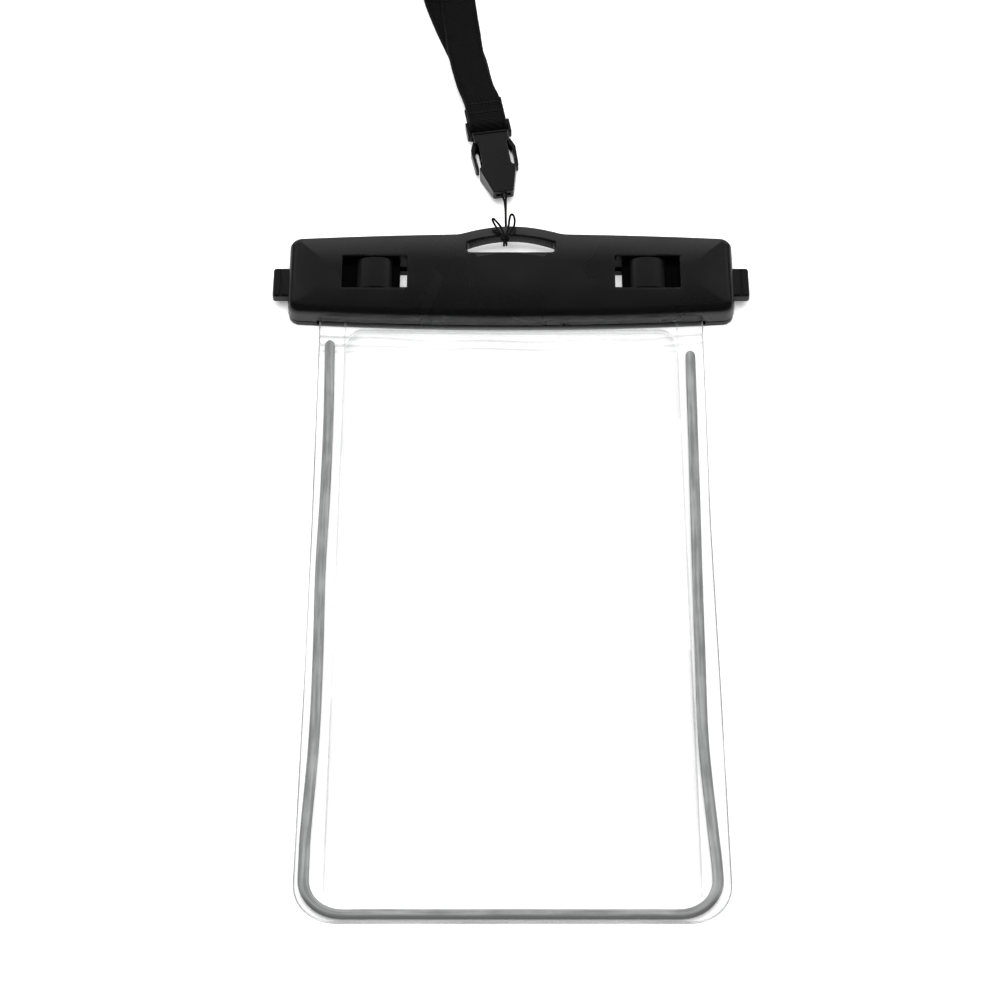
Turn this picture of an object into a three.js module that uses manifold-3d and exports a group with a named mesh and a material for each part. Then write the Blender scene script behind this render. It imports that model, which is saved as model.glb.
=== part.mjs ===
// A waterproof pocket of clear film with a rigid locking closure, a luminous strip in its weld
// and a neck strap on a side-release buckle. It lies on its back, with its pocket filled out.
// Millimetres. +X is to the right, +Y towards the closure, +Z up from the table.
// The origin is on the table, at the middle of the pouch without its cord and strap.
import * as THREE from 'three';
import { mergeVertices } from 'three/addons/utils/BufferGeometryUtils.js';
import Module from 'manifold-3d';

const wasm = await Module();
wasm.setup();

// Clearances
const GAP = 0.3; // between pieces that meet
const SEAT_GAP = 0.15; // around a seal in its groove, and between sewn plies
const OVERCUT = 1; // how far a cut runs past a face

// Overall
const POUCH_LENGTH = 206.9; // bottom edge of the film to the top of the arch
const CLOSURE_THICKNESS = 6.9;

// Film
const FILM_WIDTH = 100.2;
const FILM_THICKNESS = 0.35;
const FILM_CORNER_R = 9.5;
const FILM_CORNER_STEPS = 6;
const FILM_MOUTH_DEPTH = 6.4; // how far the mouth reaches in from the closure's straight front line
const FILM_SIDE_PLAY = 0.7; // at each side of the mouth, inside the closure
const WELD_WIDTH = 6.8;
const BOTTOM_WELD_WIDTH = 6.1;

// Pocket, as it stands when it is filled
const POCKET_WIDTH = 76;
const POCKET_TOP_RUN = 12.95; // from the flat top of the pocket to the closure
const POCKET_HEIGHT = 8.3;
const POCKET_BOTTOM_SLOPE = 6; // from the bottom weld to the flat top of the pocket
const MOUTH_RISE = 8; // length over which the film climbs to the closure

// Closure jaws
const JAW_LENGTH = 116.7;
const JAW_DEPTH = 23.9; // front to back at its ends
const JAW_FRONT_BOW = 2.05;
const JAW_BACK_BOW = 1.85;
const JAW_CORNER_R = 3.2;
const JAW_EDGE_R = 2.1; // rounding of the top edge
const ARCH_RISE = 2.75;
const ARCH_HALF_WIDTH = 13.5;
const ARCH_THICKNESS = 3.8;
const ARCH_NOTCH_MARGIN = 2; // room beside the arch, below it
const ARCH_BLEND = 0.02; // how softly the arch grows out of the back edge
const REAR_JAW_THICKNESS = 1.6;
const REAR_JAW_INSET = 0.2;
const REAR_JAW_CHAMFER = 0.3;
const JAW_SKIN = 1.4; // top wall of the front jaw
const JAW_WALL = 1.8; // side walls of the front jaw

// Hang slot below the arch
const SLOT_HALF_WIDTH = 11.6;
const SLOT_END_HEIGHT = 3.2;
const SLOT_HEIGHT = 6;
const SLOT_CORNER = 1;
const ARCH_BAR = 2.9; // bar left above the slot, in plan

// Seals
const SEAL_SETBACK = 2.3; // from the straight front line of the jaws
const SEAL_WIDTH = 3;
const SEAL_OVERHANG = 0.9; // how far the seals reach past the film at each side
const UPPER_SEAL_DEPTH = 1.8;
const LOWER_SEAL_DEPTH = 0.7;

// Windows and locks
const WINDOW_WIDTH = 17.1;
const WINDOW_DEPTH = 11.1;
const WINDOW_X = 35.85;
const WINDOW_SETBACK = 7.2; // from the straight front line of the jaws
const THUMB_WIDTH = 9.6;
const THUMB_CLEARANCE = 0.1; // below the top face
const THUMB_STEPS = 12;
const LOCK_BOTTOM_Z = 2.7;
const LOCK_THICKNESS = 2.5;
const LOCK_WEB = 1; // left under the head of a hook
const LOCK_END_SHOWN = 1.9; // from the window's inner edge to the lock's inner end
const TAB_REACH = 4.15; // how far a tab stands out of the closure's end
const TAB_WIDTH = 9.8;
const TAB_SETBACK = 2.1; // of the tab's middle, in front of the lock's
const TAB_GROOVE = 0.5;
const LOCK_TRAVEL = 3.4;
const LIP_REACH = 1;
const LIP_THICKNESS = 0.5;
const LIP_LENGTH = 12;
const LIP_INNER_X = 32.85;
const GUIDE_RIB = 1.2;
const PEEP_WIDTH = 4.2; // hole in the rear jaw under the inner end of a lock
const PEEP_DEPTH = 5.5;
const PEEP_SETBACK = 0.85; // from the window's back edge

// Hooks of the rear jaw
const HOOK_X = 50;
const HOOK_SHAFT = 2;
const HOOK_WIDTH = 3;
const HOOK_OVERHANG = 1.6;
const HOOK_HEAD = 1.2;
const HOOK_PLAY = 0.4;

// Luminous strip, with its distance from the film's edge at even steps down each side
const STRIP_WIDTH = 2.6;
const STRIP_THICKNESS = 0.8;
const STRIP_LEFT_START = 13.35; // from the film's mouth
const STRIP_RIGHT_START = 16.75;
const STRIP_SIDE_END = 24; // from the bottom of the film
const STRIP_LEFT_INSETS = [3.0, 3.45, 3.45, 3.1, 3.5, 3.6, 2.6];
const STRIP_RIGHT_INSETS = [3.7, 3.95, 4.25, 4.6, 4.85, 4.9, 3.3];
const STRIP_CORNER_INSET = 2;
const STRIP_BOTTOM_MARGIN = 0.2;
const STRIP_STEPS = 72;

// Buckle, in its own frame: u along it from the narrow end, v across, w up
const BUCKLE_LEAN = THREE.MathUtils.degToRad(9.3);
const BUCKLE_END = [-1.85, 117.6];
const SOCKET_LENGTH = 23.4;
const SOCKET_HEIGHT = 4.8;
const SOCKET_PLATE = 0.9;
const SOCKET_NOSE_HALF = 2.75;
const SOCKET_SHOULDER_U = 9.6;
const SOCKET_SHOULDER_HALF = 4.95;
const SOCKET_WAIST_HALF = 3.9;
const SOCKET_MOUTH_HALF = 4.75;
const SOCKET_MOUTH_LENGTH = 3.2;
const SOCKET_SIDE_WALL = 1;
const SOCKET_NOSE_LENGTH = 3.6;
const EYE_SLOT = 1.5; // each of the two slots in the nose that the thin cord goes through
const EYE_POST = 1; // post between them
const EYE_POST_DEPTH = 1.2;
const EYE_CHANNEL = 1.5; // room behind the post
const EYE_HEIGHT = 1.5;
const PLUG_FRAME_HALF = 5.2;
const PLUG_FRAME_SIDE = 0.9;
const PLUG_SLOT = 3;
const PLUG_BAR = 2;
const PLUG_BASE = 1.1;
const PLUG_HEIGHT = 2.4;
const PLUG_TONGUE_HALF = 1.5;
const PLUG_TONGUE_LENGTH = 14;
const EAR_REACH = 6.15; // furthest point of an ear from the buckle's middle
const EAR_THICKNESS = 1;
const BAR_BOTTOM = 1.55;
const BAR_THICKNESS = 1.6;

// Webbing
const STRAP_WIDTH = 10;
const STRAP_THICKNESS = 1;
const TAB_PLY_WIDTH = 10.6;
const COIL_INNER_R = 36; // radius at which the strap leaves the turns for the middle of the coil
const COIL_LAYER = 5; // distance between neighbouring turns
const COIL_X = 12;
const COIL_Y = 260.6;
const COIL_TURNS = 1.25;
const COIL_SIDES = 48;
const TIE_WIDTH = 8;
const TIE_THICKNESS = 0.7;
const TIE_ANGLE = THREE.MathUtils.degToRad(20);

// Thin cord
const CORD_D = 0.8;

// Route of the thin cord: from the right bow over the arch, through the hang slot, up to the
// buckle's eye, back down, through the slot again and into the left bow.
const CORD_ROUTE = [
  [-0.9, 100.8, 8.9], [-0.1, 103.0, 9.1], [0.4, 105.7, 8.9], [1.3, 106.8, 8.5], [1.9, 105.5, 8.1],
  [1.2, 102.7, 7.9], [0.5, 100.9, 7.8], [0.2, 99.8, 7.1], [0.05, 99.55, 5.2], [0.0, 99.8, 3.2],
  [-0.1, 101.1, 2.2], [-0.3, 103.0, 2.1], [-0.4, 104.5, 2.2], [-0.5, 107.0, 2.3], [-0.7, 110.0, 2.35],
  [-0.9, 113.3, 2.4], [-0.95, 116.6, 2.4], [-0.98, 118.6, 2.4], [-1.5, 119.57, 2.4], [-2.5, 119.74, 2.4],
  [-3.05, 118.9, 2.4], [-3.0, 116.6, 2.4], [-2.7, 113.3, 2.4], [-2.3, 110.0, 2.35], [-2.0, 107.0, 2.3],
  [-1.9, 104.5, 2.2], [-1.9, 103.0, 2.1], [-2.0, 101.1, 2.2], [-2.2, 99.8, 3.2], [-2.3, 99.55, 5.2],
  [-2.45, 99.8, 7.1], [-2.7, 100.9, 7.8], [-3.5, 102.7, 7.9], [-4.9, 104.8, 8.1], [-5.7, 105.7, 8.5],
  [-5.9, 104.6, 8.9], [-5.0, 102.6, 9.1], [-3.6, 100.9, 8.9], [-2.4, 100.3, 9.0],
];

// Route of the two legs of the strap from the buckle to the coil: x, y, z and, in degrees, how far
// the webbing is turned from flat.
const FRONT_LEG = [
  [-6.73, 147.4, 2.9, 0], [-7.75, 153.8, 2.95, 0], [-9.95, 160.7, 2.6, 0], [-12.35, 172.7, 2.1, 0],
  [-13.4, 181.6, 1.8, 0], [-14.3, 189.1, 1.75, 0], [-15.0, 195.6, 1.9, -4], [-16.0, 202.6, 3.2, -24],
  [-18.2, 209.6, 4.6, -54], [-20.9, 216.6, 5.15, -80], [-24.0, 225.0, 5.1, -90],
];
const REAR_LEG = [
  [-6.73, 147.4, 1.75, 0], [-7.75, 153.8, 1.8, 0], [-9.9, 162.6, 0.9, 0], [-11.6, 171.6, 0.6, 0],
  [-13.6, 177.6, 0.6, 0], [-16.4, 185.6, 0.6, 0], [-19.4, 195.2, 0.95, -2], [-21.6, 202.6, 2.9, -22],
  [-24.3, 210.1, 4.5, -54], [-26.9, 217.6, 5.15, -80], [-29.5, 226.1, 5.1, -90], [-32.4, 235.6, 5.1, -90],
];

// Colours and finishes
const finish = (color, roughness, extra = {}) =>
  new THREE.MeshStandardMaterial({ color, roughness, metalness: 0, ...extra });
const SATIN_BLACK = () => finish(0x1c1c1d, 0.42);
const GLOSS_BLACK = () => finish(0x141415, 0.3);
const SEAL_GREY = () => finish(0x8d9092, 0.6);
const WEBBING = () => finish(0x121212, 0.9);
const CLEAR_FILM = () => finish(0xf4f8fa, 0.12, { transparent: true, opacity: 0.3 });
const GLOW_GREY = () => finish(0x9a9d9c, 0.5, { transparent: true, opacity: 0.8 });

// Places that follow from the sizes above
const POUCH_BOTTOM_Y = -POUCH_LENGTH / 2;
const ARCH_TOP_Y = POUCH_LENGTH / 2;
const JAW_BACK_Y = ARCH_TOP_Y - ARCH_RISE - JAW_BACK_BOW;
const JAW_FRONT_Y = JAW_BACK_Y - JAW_DEPTH;
const FILM_MOUTH_Y = JAW_FRONT_Y + FILM_MOUTH_DEPTH;
const WINDOW_FRONT_Y = JAW_FRONT_Y + WINDOW_SETBACK;
const WINDOW_BACK_Y = WINDOW_FRONT_Y + WINDOW_DEPTH;
const LOCK_Y = (WINDOW_FRONT_Y + WINDOW_BACK_Y) / 2;
const LOCK_DEPTH = WINDOW_DEPTH - 2 * GAP;
const TAB_Y = LOCK_Y - TAB_SETBACK;
const LOCK_INNER_X = WINDOW_X - WINDOW_WIDTH / 2 + LOCK_END_SHOWN;
const LOCK_TOP_Z = LOCK_BOTTOM_Z + LOCK_THICKNESS;
const TAB_OUTER_X = JAW_LENGTH / 2 + TAB_REACH;
const HEAD_OUTER_X = HOOK_X + HOOK_SHAFT / 2 + HOOK_OVERHANG;
const SEAL_FRONT_Y = JAW_FRONT_Y + SEAL_SETBACK;
const SEAL_BACK_Y = SEAL_FRONT_Y + SEAL_WIDTH;
const SEAL_LENGTH = FILM_WIDTH + 2 * SEAL_OVERHANG;
const SLOT_BOTTOM_Y = ARCH_TOP_Y - ARCH_BAR - SLOT_HEIGHT;
const CAVITY_BACK_Y = SLOT_BOTTOM_Y - JAW_WALL;
const ARCH_BOTTOM_Z = CLOSURE_THICKNESS - ARCH_THICKNESS;
const JAW_CEILING_Z = CLOSURE_THICKNESS - JAW_SKIN;
const JAW_HALF = JAW_LENGTH / 2;
const LOCK_END_X = JAW_HALF - JAW_WALL; // inner face of the closure's end wall
const ARCH_NOTCH_HALF = ARCH_HALF_WIDTH + ARCH_NOTCH_MARGIN;

// Heights through the mouth: rear jaw, rear film, front film, front jaw
const REAR_FILM_MOUTH_Z = REAR_JAW_THICKNESS + GAP;
const FRONT_FILM_MOUTH_Z = REAR_FILM_MOUTH_Z + FILM_THICKNESS + GAP;
const LAND_Z = FRONT_FILM_MOUTH_Z + FILM_THICKNESS + GAP;
const PARTING_Z = REAR_JAW_THICKNESS + GAP;
const FLANGE_Z = FILM_THICKNESS + GAP;
const LOWER_SEAL_Z = REAR_JAW_THICKNESS - LOWER_SEAL_DEPTH + SEAT_GAP;

// Solids
function toManifold(geometry) {
  const bare = geometry.index ? geometry.toNonIndexed() : geometry.clone();
  for (const name of Object.keys(bare.attributes)) {
    if (name !== 'position') bare.deleteAttribute(name);
  }
  const merged = mergeVertices(bare, 1e-4);
  return new wasm.Manifold(new wasm.Mesh({
    numProp: 3,
    vertProperties: new Float32Array(merged.attributes.position.array),
    triVerts: new Uint32Array(merged.index.array),
  }));
}

function toGeometry(manifold) {
  const mesh = manifold.getMesh();
  const geometry = new THREE.BufferGeometry();
  const places = [];
  for (let i = 0; i < mesh.numVert; i += 1) {
    places.push(...mesh.vertProperties.slice(i * mesh.numProp, i * mesh.numProp + 3));
  }
  geometry.setAttribute('position', new THREE.Float32BufferAttribute(places, 3));
  geometry.setIndex(Array.from(mesh.triVerts));
  geometry.computeVertexNormals();
  return geometry;
}

function carve(base, { add = [], cut = [] }) {
  let solid = toManifold(base);
  for (const piece of add) solid = solid.add(toManifold(piece));
  for (const piece of cut) solid = solid.subtract(toManifold(piece));
  return toGeometry(solid);
}

function block(x, y, z) {
  const box = new THREE.BoxGeometry(x[1] - x[0], y[1] - y[0], z[1] - z[0]);
  return box.translate((x[0] + x[1]) / 2, (y[0] + y[1]) / 2, (z[0] + z[1]) / 2);
}

// A block on the left (side -1) or the right (side 1) of the middle
function sideBlock(side, x, y, z) {
  return block(side > 0 ? x : [-x[1], -x[0]], y, z);
}

function prism(points, z) {
  const shape = new THREE.Shape(points.map(([x, y]) => new THREE.Vector2(x, y)));
  const solid = new THREE.ExtrudeGeometry(shape, { depth: z[1] - z[0], bevelEnabled: false });
  return solid.translate(0, 0, z[0]);
}

// A closed solid through rings of as many points each, with its two ends capped. The rings run
// anticlockwise seen from the last one's side.
function loft(rings, capPlane = (p) => new THREE.Vector2(p[0], p[1])) {
  const count = rings[0].length;
  const index = [];
  for (let r = 0; r + 1 < rings.length; r += 1) {
    for (let i = 0; i < count; i += 1) {
      const a = r * count + i;
      const b = r * count + ((i + 1) % count);
      index.push(a, b, b + count, a, b + count, a + count);
    }
  }
  const contour = rings[0].map(capPlane);
  const clockwise = THREE.ShapeUtils.isClockWise(contour);
  const last = (rings.length - 1) * count;
  for (const [a, b, c] of THREE.ShapeUtils.triangulateShape(contour, [])) {
    const [first, third] = clockwise ? [c, a] : [a, c];
    index.push(third, b, first);
    index.push(first + last, b + last, third + last);
  }
  const geometry = new THREE.BufferGeometry();
  geometry.setAttribute('position', new THREE.Float32BufferAttribute(rings.flat(2), 3));
  geometry.setIndex(index);
  return geometry;
}

// A sheet of even thickness over a grid of lines, lifted to a height at each crossing
function sheet(xs, ys, height, thickness) {
  const place = (z) => ys.flatMap((y) => xs.map((x) => [x, y, height(x, y) + z]));
  const points = [...place(0), ...place(thickness)];
  const wide = xs.length;
  const upper = wide * ys.length;
  const index = [];
  const quad = (a, b, c, d) => index.push(a, b, c, a, c, d);
  for (let j = 0; j + 1 < ys.length; j += 1) {
    for (let i = 0; i + 1 < wide; i += 1) {
      const a = j * wide + i;
      quad(a, a + wide, a + wide + 1, a + 1);
      quad(a + upper, a + 1 + upper, a + wide + 1 + upper, a + wide + upper);
    }
  }
  const back = (ys.length - 1) * wide;
  for (let i = 0; i + 1 < wide; i += 1) {
    quad(i, i + 1, i + 1 + upper, i + upper);
    quad(back + i + 1, back + i, back + i + upper, back + i + 1 + upper);
  }
  for (let j = 0; j + 1 < ys.length; j += 1) {
    const a = j * wide;
    const b = a + wide - 1;
    quad(a + wide, a, a + upper, a + wide + upper);
    quad(b, b + wide, b + wide + upper, b + upper);
  }
  const geometry = new THREE.BufferGeometry();
  geometry.setAttribute('position', new THREE.Float32BufferAttribute(points.flat(), 3));
  geometry.setIndex(index);
  return geometry;
}

const SECTION = [[-1, -1], [-1, 1], [1, 1], [1, -1]];

// Webbing along a route of [x, y, z, turn] points: a flat section that stays upright to the route
// in plan and is turned about it by turn degrees.
function webbing(route, width, thickness, steps, shares = () => 1) {
  const curve = new THREE.CatmullRomCurve3(route.map(([x, y, z]) => new THREE.Vector3(x, y, z)));
  const up = new THREE.Vector3(0, 0, 1);
  const rings = [];
  for (let k = 0; k <= steps; k += 1) {
    const t = k / steps;
    const along = t * (route.length - 1);
    const from = Math.min(Math.floor(along), route.length - 2);
    const turn = THREE.MathUtils.degToRad(
      THREE.MathUtils.lerp(route[from][3], route[from + 1][3], along - from));
    const centre = curve.getPoint(t);
    const ahead = curve.getTangent(t).normalize();
    const side = new THREE.Vector3().crossVectors(ahead, up).normalize();
    const over = new THREE.Vector3().crossVectors(side, ahead);
    const across = side.clone().multiplyScalar(Math.cos(turn)).addScaledVector(over, Math.sin(turn));
    const face = new THREE.Vector3().crossVectors(across, ahead);
    const half = (width / 2) * shares(t);
    rings.push(SECTION.map(([a, b]) => centre.clone()
      .addScaledVector(across, a * half)
      .addScaledVector(face, b * thickness / 2)
      .toArray()));
  }
  return loft(rings, (_, i) => new THREE.Vector2(...SECTION[i]));
}

// Even steps between two places, and stops repeated on both sides of the middle
const between = (low, high, count) =>
  Array.from({ length: count }, (_, k) => low + ((high - low) * (k + 1)) / (count + 1));
const mirrored = (stops) => [...stops.filter((x) => x > 0).map((x) => -x).reverse(), ...stops];

const part = new THREE.Group();

function place(parent, name, geometry, material) {
  const mesh = new THREE.Mesh(geometry, material);
  mesh.name = name;
  parent.add(mesh);
  return mesh;
}

// Outline of the closure in plan, a lens with rounded corners, drawn in by inset
function jawOutline(inset, archRise) {
  const half = JAW_HALF - inset;
  const radius = Math.max(JAW_CORNER_R - inset, 0.4);
  const run = half - radius;
  const lens = (x) => 1 - (x / JAW_HALF) ** 2;
  const swell = (x) => 1 - (x / ARCH_HALF_WIDTH) ** 2;
  const softened = (s) => (s + Math.sqrt(s ** 2 + ARCH_BLEND)) / (1 + Math.sqrt(1 + ARCH_BLEND));
  const front = (x) => JAW_FRONT_Y - JAW_FRONT_BOW * lens(x) + inset;
  const back = (x) => JAW_BACK_Y + JAW_BACK_BOW * lens(x) - inset + archRise * softened(swell(x));
  const frontStops = [-1, -0.6, -0.2, 0.2, 0.6, 1].map((share) => share * run);
  const archStops = [0.22, 0.45, 0.67, 0.89, 1.04, 1.19, 1.48].map((share) => share * ARCH_HALF_WIDTH);
  const backStops = mirrored([0, ...archStops, 0.72 * run, run]).reverse();
  const corner = (x, y, from) => [1, 2, 3].map((k) => {
    const angle = from + (k * Math.PI) / 8;
    return [x + radius * Math.cos(angle), y + radius * Math.sin(angle)];
  });
  return [
    ...frontStops.map((x) => [x, front(x)]),
    ...corner(run, front(run) + radius, -Math.PI / 2),
    [half, front(run) + radius],
    [half, back(run) - radius],
    ...corner(run, back(run) - radius, 0),
    ...backStops.map((x) => [x, back(x)]),
    ...corner(-run, back(run) - radius, Math.PI / 2),
    [-half, back(run) - radius],
    [-half, front(run) + radius],
    ...corner(-run, front(run) + radius, Math.PI),
  ];
}

// Front jaw: a shell with a rounded top edge, the arch and its hang slot, two windows, a land that
// presses on the film with a groove for the seal, and the guides that carry the two locks.
function frontJaw() {
  const rings = [
    [0, PARTING_Z], [0, CLOSURE_THICKNESS - JAW_EDGE_R],
    [JAW_EDGE_R * 0.3, CLOSURE_THICKNESS - JAW_EDGE_R * 0.3], [JAW_EDGE_R, CLOSURE_THICKNESS],
  ].map(([inset, z]) => jawOutline(inset, ARCH_RISE).map(([x, y]) => [x, y, z]));
  const slotTop = (x) => SLOT_BOTTOM_Y + SLOT_END_HEIGHT
    + (SLOT_HEIGHT - SLOT_END_HEIGHT) * (1 - (x / SLOT_HALF_WIDTH) ** 2);
  const slotStops = [1, 0.8, 0.6, 0.4, 0.2, 0, -0.2, -0.4, -0.6, -0.8, -1];
  const slot = [
    [-SLOT_HALF_WIDTH + SLOT_CORNER, SLOT_BOTTOM_Y], [SLOT_HALF_WIDTH - SLOT_CORNER, SLOT_BOTTOM_Y],
    [SLOT_HALF_WIDTH, SLOT_BOTTOM_Y + SLOT_CORNER],
    ...slotStops.map((share) => [share * SLOT_HALF_WIDTH, slotTop(share * SLOT_HALF_WIDTH)]),
    [-SLOT_HALF_WIDTH, SLOT_BOTTOM_Y + SLOT_CORNER],
  ];
  const below = PARTING_Z - OVERCUT;
  const above = CLOSURE_THICKNESS + OVERCUT;
  const midHalf = ARCH_NOTCH_HALF + JAW_WALL;
  const wallBackY = JAW_BACK_Y - JAW_WALL;
  const cuts = [
    prism(slot, [below, above]),
    block([-ARCH_NOTCH_HALF, ARCH_NOTCH_HALF],
      [SLOT_BOTTOM_Y - GAP / 2, ARCH_TOP_Y + OVERCUT], [below, ARCH_BOTTOM_Z]),
    block([-midHalf - OVERCUT, midHalf + OVERCUT],
      [WINDOW_FRONT_Y, CAVITY_BACK_Y], [below, JAW_CEILING_Z]),
    block([-FILM_WIDTH / 2 - FILM_SIDE_PLAY, FILM_WIDTH / 2 + FILM_SIDE_PLAY],
      [JAW_FRONT_Y - JAW_FRONT_BOW - OVERCUT, FILM_MOUTH_Y + GAP], [below, LAND_Z]),
    block([-SEAL_LENGTH / 2, SEAL_LENGTH / 2],
      [SEAL_FRONT_Y, SEAL_BACK_Y], [below, LAND_Z + UPPER_SEAL_DEPTH]),
  ];
  const tabRoomY = [TAB_Y - TAB_WIDTH / 2 - GAP, TAB_Y + TAB_WIDTH / 2 + GAP];
  const ribs = [];
  for (const side of [-1, 1]) {
    cuts.push(sideBlock(side, [midHalf, LOCK_END_X],
      [WINDOW_FRONT_Y, wallBackY], [below, JAW_CEILING_Z]));
    cuts.push(sideBlock(side, [WINDOW_X - WINDOW_WIDTH / 2, WINDOW_X + WINDOW_WIDTH / 2],
      [WINDOW_FRONT_Y, WINDOW_BACK_Y], [below, above]));
    cuts.push(sideBlock(side, [LOCK_END_X - OVERCUT, JAW_HALF + OVERCUT],
      tabRoomY, [LOCK_BOTTOM_Z - GAP, LOCK_TOP_Z + GAP]));
    cuts.push(sideBlock(side, [LOCK_END_X - 2 * GAP - OVERCUT - LOCK_TRAVEL, LOCK_END_X],
      tabRoomY, [below, JAW_CEILING_Z]));
    const lipZ = [LOCK_BOTTOM_Z - GAP - LIP_THICKNESS, LOCK_BOTTOM_Z - GAP];
    const lipX = [LIP_INNER_X, LIP_INNER_X + LIP_LENGTH];
    const frontLipY = [WINDOW_FRONT_Y - OVERCUT / 2, WINDOW_FRONT_Y + LIP_REACH];
    const backLipY = [WINDOW_BACK_Y - LIP_REACH, WINDOW_BACK_Y + OVERCUT / 2];
    ribs.push(sideBlock(side, lipX, frontLipY, lipZ));
    ribs.push(sideBlock(side, lipX, backLipY, lipZ));
    ribs.push(sideBlock(side, [midHalf + OVERCUT, LOCK_END_X + OVERCUT / 2],
      [WINDOW_BACK_Y, WINDOW_BACK_Y + GUIDE_RIB], [lipZ[0], JAW_CEILING_Z + OVERCUT / 2]));
  }
  const shell = carve(loft(rings), { cut: cuts });
  return carve(shell, { add: ribs });
}

// Rear jaw: a thin plate with the groove of the lower seal, a notch behind the hang slot, a hole
// under the inner end of each lock, and two hooks that stand through the locks.
function rearJaw() {
  const rings = [
    [REAR_JAW_INSET + REAR_JAW_CHAMFER, 0], [REAR_JAW_INSET, REAR_JAW_CHAMFER],
    [REAR_JAW_INSET, REAR_JAW_THICKNESS],
  ].map(([inset, z]) => jawOutline(inset, 0).map(([x, y]) => [x, y, z]));
  const through = [-OVERCUT, REAR_JAW_THICKNESS + OVERCUT];
  const cuts = [
    block([-ARCH_NOTCH_HALF, ARCH_NOTCH_HALF], [SLOT_BOTTOM_Y - GAP / 2, ARCH_TOP_Y + OVERCUT], through),
    block([-SEAL_LENGTH / 2, SEAL_LENGTH / 2], [SEAL_FRONT_Y, SEAL_BACK_Y],
      [REAR_JAW_THICKNESS - LOWER_SEAL_DEPTH, REAR_JAW_THICKNESS + OVERCUT]),
  ];
  const hooks = [];
  for (const side of [-1, 1]) {
    const windowInnerX = WINDOW_X - WINDOW_WIDTH / 2;
    cuts.push(sideBlock(side, [windowInnerX, windowInnerX + PEEP_WIDTH],
      [WINDOW_BACK_Y - PEEP_SETBACK - PEEP_DEPTH, WINDOW_BACK_Y - PEEP_SETBACK], through));
    const hookY = [LOCK_Y - HOOK_WIDTH / 2, LOCK_Y + HOOK_WIDTH / 2];
    const headZ = LOCK_BOTTOM_Z + LOCK_WEB + GAP;
    hooks.push(sideBlock(side, [HOOK_X - HOOK_SHAFT / 2, HOOK_X + HOOK_SHAFT / 2], hookY,
      [REAR_JAW_THICKNESS / 2, headZ + HOOK_HEAD]));
    hooks.push(sideBlock(side, [HOOK_X, HEAD_OUTER_X], hookY, [headZ, headZ + HOOK_HEAD]));
  }
  const plate = carve(loft(rings), { cut: cuts });
  return carve(plate, { add: hooks });
}

// A lock: a slide plate with the arched thumb piece in its window, a slot around the hook with a
// recess for its head, and a grooved tab that stands out of the closure's end.
function lock(side) {
  const plate = sideBlock(side, [LOCK_INNER_X, LOCK_END_X - GAP],
    [LOCK_Y - LOCK_DEPTH / 2, LOCK_Y + LOCK_DEPTH / 2], [LOCK_BOTTOM_Z, LOCK_TOP_Z]);
  const tab = sideBlock(side, [LOCK_END_X - GAP - OVERCUT, TAB_OUTER_X],
    [TAB_Y - TAB_WIDTH / 2, TAB_Y + TAB_WIDTH / 2], [LOCK_BOTTOM_Z, LOCK_TOP_Z]);
  const rise = CLOSURE_THICKNESS - THUMB_CLEARANCE - LOCK_TOP_Z;
  const middle = side * WINDOW_X;
  const arch = [];
  for (let k = 0; k <= THUMB_STEPS; k += 1) {
    const angle = (Math.PI * k) / THUMB_STEPS;
    arch.push([middle + (THUMB_WIDTH / 2) * Math.cos(angle), rise * Math.sin(angle)]);
  }
  const foot = [[middle - THUMB_WIDTH / 2, -OVERCUT], [middle + THUMB_WIDTH / 2, -OVERCUT]];
  const thumb = prism([...arch, ...foot], [0, LOCK_DEPTH]);
  thumb.rotateX(Math.PI / 2);
  thumb.translate(0, LOCK_Y + LOCK_DEPTH / 2, LOCK_TOP_Z);
  const slotX = [HOOK_X - HOOK_SHAFT / 2 - HOOK_PLAY, HOOK_X + HOOK_SHAFT / 2 + LOCK_TRAVEL + HOOK_PLAY];
  const slotY = [LOCK_Y - HOOK_WIDTH / 2 - HOOK_PLAY, LOCK_Y + HOOK_WIDTH / 2 + HOOK_PLAY];
  const slot = sideBlock(side, slotX, slotY, [LOCK_BOTTOM_Z - OVERCUT, LOCK_TOP_Z + OVERCUT]);
  const recess = sideBlock(side, [slotX[0], HEAD_OUTER_X + LOCK_TRAVEL + GAP], slotY,
    [LOCK_BOTTOM_Z + LOCK_WEB, LOCK_TOP_Z + OVERCUT]);
  const grooveX = JAW_HALF + TAB_REACH / 2;
  const groove = sideBlock(side, [grooveX - TAB_GROOVE / 2, grooveX + TAB_GROOVE / 2],
    [LOCK_Y - TAB_WIDTH, LOCK_Y + TAB_WIDTH], [LOCK_TOP_Z - TAB_GROOVE, LOCK_TOP_Z + OVERCUT]);
  return carve(plate, { add: [tab, thumb], cut: [slot, recess, groove] });
}

// A seal: a strip of soft rubber in its groove, flush with the face that presses on the film
function seal(z) {
  return block([-SEAL_LENGTH / 2 + SEAT_GAP, SEAL_LENGTH / 2 - SEAT_GAP],
    [SEAL_FRONT_Y + SEAT_GAP, SEAL_BACK_Y - SEAT_GAP], z);
}

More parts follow.
